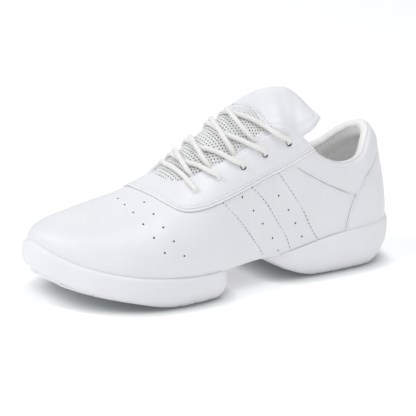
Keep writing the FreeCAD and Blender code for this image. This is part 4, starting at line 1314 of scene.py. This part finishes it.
# ============================================================ tongue flap
# Padded pillow lying over the tongue's top; p runs 0..1 from its front edge to its rear
# edge, b runs -1..1 from the medial to the lateral edge.
FLAP_X = loose([0, .25, .5, .75, 1], [106.5, 98.5, 89, 79.5, 70.5])
FLAP_Z = loose([0, .12, .3, .5, .75, .9, 1], [101.6, 106.0, 110.3, 112.4, 112.5, 111.7, 110.2])
FLAP_Y, FLAP_DEPTH = -9, 34.0
LATERAL_REACH = loose([0, .25, .5, .8, 1], [25.5, 30.5, 31.5, 31.5, 27.5])
MEDIAL_REACH = loose([0, .25, .5, .8, 1], [15.5, 16.5, 17, 15.5, 12.5])
LATERAL_EDGE_Z = loose([0, .25, .5, .78, 1], [97.0, 94.5, 91.0, 95.5, 100.5])
MEDIAL_EDGE_Z = loose([0, .25, .5, .8, 1], [101.0, 102.0, 103, 104, 105])

flap_steps = np.concatenate([[0, .004, .012, .022, .035], np.linspace(.05, .95, 56),
                             [.965, .978, .988, .996, 1.0]])
p = flap_steps[:, None]
b = np.concatenate([[-1, -.995, -.985, -.97, -.95], np.linspace(-.93, .93, 51),
                    [.95, .97, .985, .995, 1.0]])[None]
out, lateral = np.abs(b), b > 0
reach = np.where(lateral, LATERAL_REACH(p), MEDIAL_REACH(p))
edge_z = np.where(lateral, LATERAL_EDGE_Z(p), MEDIAL_EDGE_Z(p))
fall = np.where(lateral, 2.1 - .85 * p ** 2, 2.3)
flap_x = (FLAP_X(p) + 1.6 * out ** 2 * (1 - p) ** 2
          + np.where(lateral, 0, 3.6) * out ** 2 * (1 - p) ** 2
          - np.where(lateral, 2.0, -2.0) * out ** 2 * p ** 2)
flap = grid(flap_x, FLAP_Y + b * reach, FLAP_Z(p) - (FLAP_Z(p) - edge_z) * out ** fall)
flap_n = -grid_normals(flap)
flap_n *= np.sign(flap_n[30, 30, 2])
end_dist = np.minimum(p, 1 - p) * FLAP_DEPTH
side_dist = (1 - out) * reach
rim_dist = np.minimum((1 - p) * FLAP_DEPTH, side_dist)
fullness = np.clip(np.minimum(end_dist, side_dist) / 7.0, 0, 1)
pillow = np.sqrt(np.clip(1 - (1 - fullness) ** 2, 0, 1))
wrinkle = (.16 * np.sin(flap[..., 1] * .55 + flap[..., 0] * .18)
           + .10 * np.sin(flap[..., 0] * .7 - flap[..., 1] * .33)) * fullness
rise = (.25 + 2.35 * pillow + wrinkle - .55 * bump(rim_dist, 3.2, .55)
        - .35 * bump(end_dist, 2.4, .5) * (p < .5))
flap_top = flap + flap_n * rise[..., None]
flap_bottom = flap - flap_n * (.25 + 2.1 * pillow)[..., None]
flap_cover = shell_piece("tongue_flap_cover", flap_top, flap - flap_n * .1, "trim",
                         "upper_leather")
flap_back = shell_piece("tongue_flap_back", flap - flap_n * .2, flap_bottom, "lining",
                        "lining_textile")
rim = np.concatenate([flap[:, 0], flap[-1, 1:], flap[::-1, -1][1:], flap[0, ::-1][1:-1]])
rim = smooth_path(np.concatenate([rim, rim[:1]])[::2], .8)[:-1]
flap_binding = tube_piece("tongue_flap_binding", rim,
                          lambda i, ang: .60 + .04 * np.sin(3 * ang + i), 10,
                          "piping", "trim_leather", closed=True)
# Stitch rows: one near the front edge, one 3.2 mm in from the rear edge.
k = int(np.argmin(np.abs(flap_steps - .07)))
X, N = flap_top[k, 4:-4], flap_n[k, 4:-4]
sew(flap_stitches, X, N, pitch=2.6, length=1.6, lift=.05)
prick(X + N * .02, N, pitch=2.6, radius=.24)
row = np.interp(1 - 3.2 / FLAP_DEPTH, flap_steps, np.arange(len(flap_steps)))
k = int(row)
X = flap_top[k, 6:-6] * (1 - (row - k)) + flap_top[k + 1, 6:-6] * (row - k)
sew(flap_stitches, X, flap_n[k, 6:-6], pitch=2.6, length=1.8, lift=.05)

# ============================================================ lace
# Each crossing from the throat edge on one side to the eyelet on the other:
# (mm along the ridge, mm across towards the start side, extra lift).
LACE_OVER = [
    [(68.6, 21.6, -1.9), (68.6, 19.6, .2), (68.5, 14.4, 2.4), (66.3, 7.2, 3.0),
     (64.3, 1.5, 1.9), (62.6, -3, .8), (60.9, -8, .15), (57.5, -17.5, .1), (54.8, -27, .2)],
    [(54.6, 26.4, -1.9), (55.2, 23.6, .2), (55.9, 17.8, 2.3), (54.2, 9.3, 3.0),
     (51.6, 3.0, 2.0), (49.4, -3.0, .8), (47.2, -8, .15), (41.2, -18.5, .1),
     (35.6, -28.5, .2)],
    [(34.3, 29.2, -1.9), (35.3, 25.6, .2), (36.6, 17.2, 2.3), (35.0, 8.0, 3.1),
     (33.2, 2.5, 2.0), (31.0, -3.0, .8), (29.0, -8, .15), (21.5, -22, .1), (15.6, -31.5, .2)],
    [(13.2, 31.4, -1.9), (16.8, 28.0, .2), (22.0, 18.0, 2.3), (22.6, 10.0, 3.1),
     (21.3, 3.5, 3.0), (19.2, -2.0, 1.6), (17.0, -7.0, .35), (11.0, -17.5, .1),
     (4.0, -30, .2)]]
LACE_UNDER = [
    [(63.8, 21.6, -1.9), (63.8, 18.5, -.1), (64.2, 12.0, -.1), (65.0, 6.0, -.1),
     (65.9, 0, -.1), (66.1, -6.4, -.15), (65.2, -12.3, -.1), (61.2, -18.9, .35),
     (57.6, -27.4, .3)],
    [(49.6, 26.8, -1.9), (49.6, 22.5, -.1), (50.2, 14.0, -.1), (51.2, 7.0, .0),
     (52.4, .0, .0), (52.7, -6.0, .0), (51.8, -11.2, .1), (48.2, -16.4, .6),
     (43.2, -23.0, .7), (38.4, -30.7, .4)],
    [(31.0, 29.6, -1.9), (31.2, 24.0, -.1), (32.0, 14.5, -.1), (33.4, 7.0, .0),
     (34.8, .0, .0), (34.9, -7.0, .0), (33.8, -14.2, .2), (27.3, -22.4, .8),
     (19.6, -31.2, .5)],
    [(19.5, 31.0, -1.9), (20.0, 24.0, -.1), (21.2, 14.0, -.1), (21.8, 6.5, .0),
     (21.4, 1.0, .1), (19.8, -3.6, .15), (17.2, -8.5, .4), (13.0, -14.0, .7),
     (5.2, -24.4, 1.7), (.3, -32.8, 1.3)]]
# Straight run between the two front eyelets.
LACE_BAR = [(73.2, 26.8, .2), (72.9, 17.5, .3), (73.8, 7.0, .3), (74.0, .8, .3),
            (72.2, -7.5, .1), (70.8, -17.0, .1), (71.2, -26.0, .1)]
LACE_ON_TONGUE, LACE_ON_STAY = 1.75, 2.6       # centre height over each surface


def at_eyelet(k, side, height):
    w, t = EYELETS[k]
    if height > 0:
        t += (.011 if height > 1 else .007) + (.007 if k < 2 else 0.0)
    return offset(side * w, t, height)


def laid(places, side=1, both_stays=False):
    """Lace points resting on the tongue, then on the eyestay at the far end (or at both)."""
    along, across, lift = np.array(places).T
    dist = np.abs(across)
    w, t = tongue_wt(along, dist)
    onto = np.clip((dist - np.interp(w, tongue_w, throat_mm) + 2.2) / 2.2, 0, 1)
    onto = np.where(both_stays | (across < 0), onto, 0)
    height = ((tongue_height(w, dist) + LACE_ON_TONGUE) * (1 - onto)
              + LACE_ON_STAY * onto + lift)
    return list(offset(np.where(side * across < 0, -w, w), np.minimum(t, 1.0), height))


def lace_end(side):
    """Path from a front eyelet back over the four crossings to the hidden tail."""
    path = [at_eyelet(0, side, 1.4), at_eyelet(0, side, -1.2)]
    for k in range(4):
        w = EYELETS[k][0] + .006
        path.append(offset(side * w, np.interp(w, throat_w, throat_t) - .035, -3.3))
        path += laid((LACE_OVER if side > 0 else LACE_UNDER)[k], side)
        path += [at_eyelet(k + 1, -side, height) for height in (2.5, .9, -1.3)]
        side = -side
    return path + [offset(side * .374, .585, -3.6), offset(side * .362, .64, -4.7)]


def braid(i, ang):
    return (1.56 + .085 * (np.sin(5 * ang + i * .62) * np.sin(5 * ang - i * .62))
            + .03 * np.sin(10 * ang))


bar = [at_eyelet(0, 1, 2.5)] + laid(LACE_BAR, both_stays=True) + [at_eyelet(0, -1, 2.5)]
lace = tube_piece("lace_cord", smooth_path(lace_end(1)[::-1] + bar + lace_end(-1), .42),
                  braid, 20, "lace", "lace_cord", sharp=0)

# ============================================================ sole
HEEL_BOTTOM = Spline([0, 6, 15, 21, 26, 30, 70, 75, 82, 92, 102, 110, 118],
                     [14, 8.6, 3.6, 1.2, .1, 0, 0, .25, 1.6, 4.8, 8.9, 13.0, 17.2])
FRONT_BOTTOM = Spline([143, 145, 148, 152, 155, 185, 192, 200, 215, 240, 250, 262],
                      [13.0, 5.8, 2.0, .3, 0, 0, .35, 1.3, 4.2, 9.6, 12.6, 18.5])
# Share of the full width where each unit narrows towards the waist.
HEEL_NARROWING = loose([90, 99, 106, 111, 115, 117.4], [1.0, .95, .84, .68, .44, .0])
FRONT_NARROWING = loose([143.4, 144.2, 146, 149, 153, 158], [0, .45, .74, .90, .97, 1.0])
SOLE_TOP = Spline(
    [0, .35, .9, 1.8, 4.0, 8, 14, 30, 60, 72, 85, 97, 108, 120, 135, 160, 200, 225, 243, 250,
     255, 259, 262],
    [32.6, 31.2, 29.9, 28.9, 28.0, 27.6, 27.5, 27.3, 25.1, 23.3, 20.7, 18.8, 18.1, 18.5, 18,
     17, 19.5, 22.5, 26.3, 28.7, 31.2, 33.8, 36.0])
# Wall profile: inset from the plan, then z above the top line, as a share of the edge
# softness, and as a share of the wall height.
SOLE_PROFILE = [
    (5.4, -1.2, 0, 0), (4.3, -.2, 0, 0), (3.6, .30, 0, 0), (3.1, .48, 0, 0),
    (2.5, .52, 0, 0), (1.9, .42, 0, 0), (1.3, .10, 0, 0), (.85, 0, -.32, 0),
    (.50, 0, -.85, 0), (.30, 0, -1.5, 0), (.20, 0, -2.2, 0), (.15, 0, -3.0, 0),
    (.06, 0, 0, -.34), (.0, 0, 0, -.42), (.05, 0, 0, -.52), (.35, 0, 0, -.64),
    (.95, 0, 0, -.75), (1.8, 0, 0, -.85), (2.9, 0, 0, -.93), (3.9, 0, 0, -.98),
    (5.0, 0, 0, -1)]
HEEL_NOTCHES, FRONT_NOTCHES = (31, 41, 51, 61, 71), (152, 163, 175, 187)
heel_x = np.concatenate([np.linspace(0, 3, 30)[1:], np.linspace(3, 110, 160),
                         117.4 - 7.4 * np.linspace(1, 0, 60)[1:] ** 2])
front_x = np.concatenate([143.4 + 14.6 * np.linspace(0, 1, 60) ** 2,
                          np.linspace(158, 255, 150)[1:],
                          262 - 7 * np.linspace(1, 0, 70)[1:] ** 2])


def relax(loop):
    return .25 * np.roll(loop, 1, 0) + .5 * loop + .25 * np.roll(loop, -1, 0)


def sole_plan(x, narrowing):
    """Closed plan loop at steps of about 0.8 mm."""
    middle, half = midline(x), half_width(x) * narrowing
    loop = np.concatenate([np.stack([x, middle + half], -1),
                           np.stack([x, middle - half], -1)[::-1]])
    loop = np.concatenate([loop, loop[:1]])
    apart = np.linalg.norm(np.diff(loop, axis=0), axis=1) > 1e-4
    loop = loop[np.concatenate([[True], apart])]
    length = running_length(loop)
    n = int(length[-1] / .8)
    loop = interp_points(np.arange(n) * length[-1] / n, length, loop)
    for _ in range(8):
        loop = relax(loop)
    return loop


def narrowed(ring, share, z):
    """A ring drawn in towards the midline at a height given by x."""
    x, middle = ring[:, 0], midline(ring[:, 0])
    return grid(x, middle + (ring[:, 1] - middle) * share, z(x))


def sole_unit(name, x, narrowing, bottom, notches):
    plan = sole_plan(x, narrowing)
    tangent = unit(np.roll(plan, -1, 0) - np.roll(plan, 1, 0))
    inward = np.stack([-tangent[:, 1], tangent[:, 0]], -1)
    x = plan[:, 0]
    to_middle = np.stack([np.full_like(x, x.mean()), midline(x)], -1) - plan
    if (to_middle * inward).sum() < 0:
        inward = -inward
    for _ in range(8):
        inward = unit(relax(inward))
    base = bottom(x) + .4
    top = SOLE_TOP(x) + .25
    wall = top - base
    softness = np.minimum(1.0, np.maximum(wall - 1.5, 1.5) / 14.0)
    notch = sum(bump(x, place, .55) for place in notches)
    rings = []
    for inset, above, soft, share in SOLE_PROFILE:
        z = top + above + soft * softness + share * wall
        under = np.clip((inset - 1.7) / 1.2, 0, 1) * (z < base + .3 * wall)
        if inset > 5.2:
            under = 0
        edge = plan + inward * inset
        rings.append(grid(edge[:, 0], edge[:, 1], z + notch * .9 * under))
    lid = [narrowed(rings[0], share, lambda x: FOOT_Z(x) - 1.2) for share in (.02, .3, .6, .9)]
    underside = [narrowed(rings[-1], share, lambda x: bottom(x) + .42)
                 for share in (.88, .7, .5, .3, .1, .02)]
    piece = new_mesh(name, *loft(np.array(lid + rings + underside), caps=False), "eva",
                     "sole_foam")
    fix_normals(piece, merge=9e-5)
    return piece


heel_sole = sole_unit("heel_sole", heel_x, np.where(heel_x > 90, HEEL_NARROWING(heel_x), 1.0),
                      HEEL_BOTTOM, HEEL_NOTCHES)
front_sole = sole_unit("forefoot_sole", front_x,
                       np.where(front_x < 158, FRONT_NARROWING(front_x), 1.0),
                       FRONT_BOTTOM, FRONT_NOTCHES)

# ---- leather that closes the waist underneath
x = np.linspace(104, 156, 60)[:, None]
s = np.linspace(-1, 1, 49)[None]
angle = s * np.pi / 2
outer = grid(x, midline(x) + np.sign(s) * (half_width(x) - 2.65) * np.abs(np.sin(angle)) ** .42,
             FOOT_Z(x) + 2.6 - 4.2 * np.cos(angle) ** .45)
inner = outer.copy()
inner[..., 1] -= np.sign(outer[..., 1]) * .9 * np.abs(s) ** 4
inner[..., 2] += 1.0
gusset = shell_piece("arch_gusset_leather", outer, inner, "leather", "upper_leather")

# ---- removable insole, in a front and a rear part
INSOLE_REAR, INSOLE_FRONT, INSOLE_SPLIT, INSOLE_GAP = 10.2, 248.5, 142, .12
end_steps = np.array([0, .3, 1, 2, 3.5])
x = np.concatenate([INSOLE_REAR + end_steps, np.linspace(16, 243, 90),
                    INSOLE_FRONT - np.array([3.6, 2, 1, .3, 0])])[:, None]
c = np.concatenate([[-1, -.985, -.955], np.linspace(-.92, .92, 33), [.955, .985, 1]])[None]
end_share = np.minimum(np.minimum((x - INSOLE_REAR) / 9.0, (INSOLE_FRONT - x) / 9.0), 1.0)
roundness = np.sqrt(np.maximum(1 - (1 - end_share) ** 2, 0))
y = midline(x) + c * np.maximum((half_width(x) - 6.4) * (.25 + .75 * roundness), 1.0)
top = grid(x, y, FOOT_Z(x) + 4.9 + 1.6 * np.abs(c) ** 3
           - .9 * np.clip((np.abs(c) - .93) / .07, 0, 1) ** 2)
bottom = grid(x, y, FOOT_Z(x) + 1.5 + .8 * np.abs(c) ** 3)
split = int(np.argmin(np.abs(x - INSOLE_SPLIT)))
insole = shell_piece("insole_textile", top[split:], bottom[split:], "sock",
                     "sockliner_textile")
top, bottom = top[:split + 1].copy(), bottom[:split + 1].copy()
for sheet in (top, bottom):
    sheet[-1, :, 0] -= INSOLE_GAP
insole_rear = shell_piece("insole_textile_rear", top, bottom, "sock", "sockliner_textile")

# ---- vamp lining
w, t = np.linspace(.66, 1.0, 60)[:, None], np.linspace(.06, 1, 40)[None]
outer, inner = (np.concatenate([offset(w, t, height), offset(-w, t, height)[::-1][1:]])
                for height in (-2.45, -3.0))
vamp_lining = shell_piece("vamp_lining_textile", outer, inner, "lining", "lining_textile",
                          merge=1e-5)

# ---- painted shadow: a dark grey line where a folded edge meets the leather below it
for side, tag in SIDES:
    for name, curve, start, end, lift, radius in (
            ("collar_seam_shadow_line_", collar_lower, 0.0, 1.0, .10, .17),
            ("heel_seam_shadow_line_", heel_seam, .03, .995, .14, .19)):
        X, N = surface_line(curve, side, 240, start, end)
        blend(tube_piece(name + tag, X + N * lift, radius, 6, "seam", "upper_leather", sharp=0),
              "heel", ARCH_BEND)
# Painted shadow: a grey tube under the piping for the dark line it casts.
edge_shadow_line = tube_piece("eyestay_edge_shadow_line", edge_path, .24, 6, "seam", "trim_leather",
                         sharp=0)
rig.ride(edge_shadow_line, "root")

# ============================================================ threads, motion, replaced nodes
# Painted shade marks between the stitches, gathered into one mesh.
stitch_shade_piece = stitch_gap_shade.make("stitch_gap_shade", material="needle")
stripe_threads = stripe_stitches.make("stripe_stitching")
heel_threads = heel_stitches.make("heel_collar_stitching")
eyestay_threads = eyestay_stitches.make("eyestay_stitching", "trim_leather")
tongue_threads = tongue_stitches.make("tongue_stitching", "mesh")
flap_threads = flap_stitches.make("flap_stitching")

for piece in (vamp, front_sole, vamp_lining):
    blend(piece, "toe", TOE_BEND)
for piece in (*side_panels, stripe_threads, stitch_shade_piece, collar, collar_lining, collar_cord,
              gusset, heel_panel, heel_threads, insole_rear):
    blend(piece, "heel", ARCH_BEND)
blend(insole, "toe", TOE_BEND)
for piece in (eyestay, piping, tongue_fabric, tongue_padding, tongue_lining, lace,
              eyestay_threads, tongue_threads):
    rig.ride(piece, "root")
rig.ride(heel_sole, "heel")
for piece in (flap_cover, flap_back, flap_binding, flap_threads):
    blend(piece, "tongue_flap", FLAP_BEND)

REPLACED = [
    (vamp, "vamp"),
    (vamp_lining, "vamp_lining"),
    (side_panels[0], "front_stripe_lateral", "rear_stripe_lateral", "rear_quarter_lateral"),
    (side_panels[1], "front_stripe_medial", "rear_stripe_medial", "rear_quarter_medial"),
    (eyestay, "eyestay"),
    (piping, "eyestay_cord"),
    (heel_panel, "heel_panel"),
    (collar, "collar_panel_lateral", "collar_panel_medial"),
    (collar_lining, "collar_foam_lateral", "collar_foam_medial", "collar_lining_lateral",
     "collar_lining_medial", "heel_lining"),
    (tongue_fabric, "tongue_mesh"),
    (tongue_padding, "tongue_foam"),
    (tongue_lining, "tongue_lining"),
    (flap_cover, "tongue_flap_leather"),
    (flap_back, "tongue_flap_foam", "tongue_flap_lining"),
    (lace, "lace"),
    (heel_sole, "heel_midsole"),
    (front_sole, "forefoot_midsole", "toe_midsole"),
    (gusset, "arch_gusset", "arch_insole_board"),
    (insole, "sockliner")]
for piece, *names in REPLACED:
    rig.replaces(piece, *[name for name in names if name in frame["nodes"]])

# ============================================================ floor
FLOOR_HALF, FLOOR_Z = 12, -.0003
mesh = bpy.data.meshes.new("floor")
mesh.from_pydata([(x * FLOOR_HALF, y * FLOOR_HALF, FLOOR_Z)
                  for x, y in ((-1, -1), (1, -1), (1, 1), (-1, 1))], [], [(0, 1, 2, 3)])
floor = bpy.data.objects.new("floor", mesh)
scene = bpy.context.scene
scene.collection.objects.link(floor)
tree, link, shader = material_nodes("floor_white")
set_inputs(shader, Base_Color=(.90, .90, .905, 1), Roughness=.9, Specular_IOR_Level=.1,
           Emission_Strength=.22)
# Painted contact shadow: ambient occlusion darkens the floor's colour and glow close to the shoe.
occlusion = add_node(tree, "AmbientOcclusion", samples=8, Distance=.013)
contrast = add_node(tree, "Math", operation="POWER")
link(occlusion.outputs["AO"], contrast.inputs[0])
contrast.inputs[1].default_value = 1.3
mix = add_node(tree, "Mix", data_type="RGBA")
mix.inputs[6].default_value = (.30, .32, .32, 1)
mix.inputs[7].default_value = (.92, .92, .92, 1)
link(contrast.outputs[0], mix.inputs[0])
for target in ("Base Color", "Emission Color"):
    link(mix.outputs[2], shader.inputs[target])
mesh.materials.append(MAT["floor_white"])
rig.stage(floor)

# ============================================================ light
world = bpy.data.worlds.new("studio")
scene.world = world
world.use_nodes = True
set_inputs(world.node_tree.nodes["Background"], Color=(.97, .985, 1.0, 1), Strength=.58)


def disk_light(name, location, target, size, power):
    light = bpy.data.lights.new(name, "AREA")
    light.shape = "DISK"
    light.size = size
    light.energy = power
    lamp = bpy.data.objects.new(name, light)
    scene.collection.objects.link(lamp)
    lamp.location = location
    aim = Vector(target) - Vector(location)
    lamp.rotation_euler = aim.to_track_quat("-Z", "Y").to_euler()


disk_light("key", (1.25, -.15, 1.15), target=(.08, 0, .04), size=.7, power=7.5)
disk_light("top", (.0, .35, 1.5), target=(.07, 0, .04), size=.9, power=6.0)
disk_light("back", (-.5, -1.0, .7), target=(.07, 0, .05), size=.8, power=1.0)
disk_light("side", (1.0, 1.25, .45), target=(.08, 0, .05), size=.8, power=1.0)

# ============================================================ camera
AZIMUTH, ELEVATION = math.radians(143.84), math.radians(16.51)
TARGET, DISTANCE = Vector((.081, 0, .045)), 1.319
ROLL_COS, ROLL_SIN = .9985, .0548              # slight tilt about the view axis
sin_az, cos_az = math.sin(AZIMUTH), math.cos(AZIMUTH)
sin_el, cos_el = math.sin(ELEVATION), math.cos(ELEVATION)
level_right = Vector((cos_az, sin_az, 0))
backward = Vector((sin_az * cos_el, -cos_az * cos_el, sin_el))
level_up = Vector((-sin_az * sin_el, cos_az * sin_el, cos_el))
right = ROLL_COS * level_right + ROLL_SIN * level_up
up = -ROLL_SIN * level_right + ROLL_COS * level_up
lens = bpy.data.cameras.new("camera")
camera = bpy.data.objects.new("camera", lens)
scene.collection.objects.link(camera)
scene.camera = camera
lens.lens = 181.5
lens.sensor_width = 36
lens.shift_x = -.0243
lens.shift_y = -.0036
lens.clip_end = 60
axes = (right, up, backward, TARGET + backward * DISTANCE)
camera.matrix_world = Matrix([[axis[i] for axis in axes] for i in range(3)] + [[0, 0, 0, 1]])
scene.view_settings.view_transform = "Standard"
scene.view_settings.look = "None"
scene.view_settings.exposure = 0.0

boxes = {"cad_box": cad_box, "visual_box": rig.bounds()}
json.dump({key: [list(map(float, corner)) for corner in box] for key, box in boxes.items()},
          open("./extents.json", "w"))
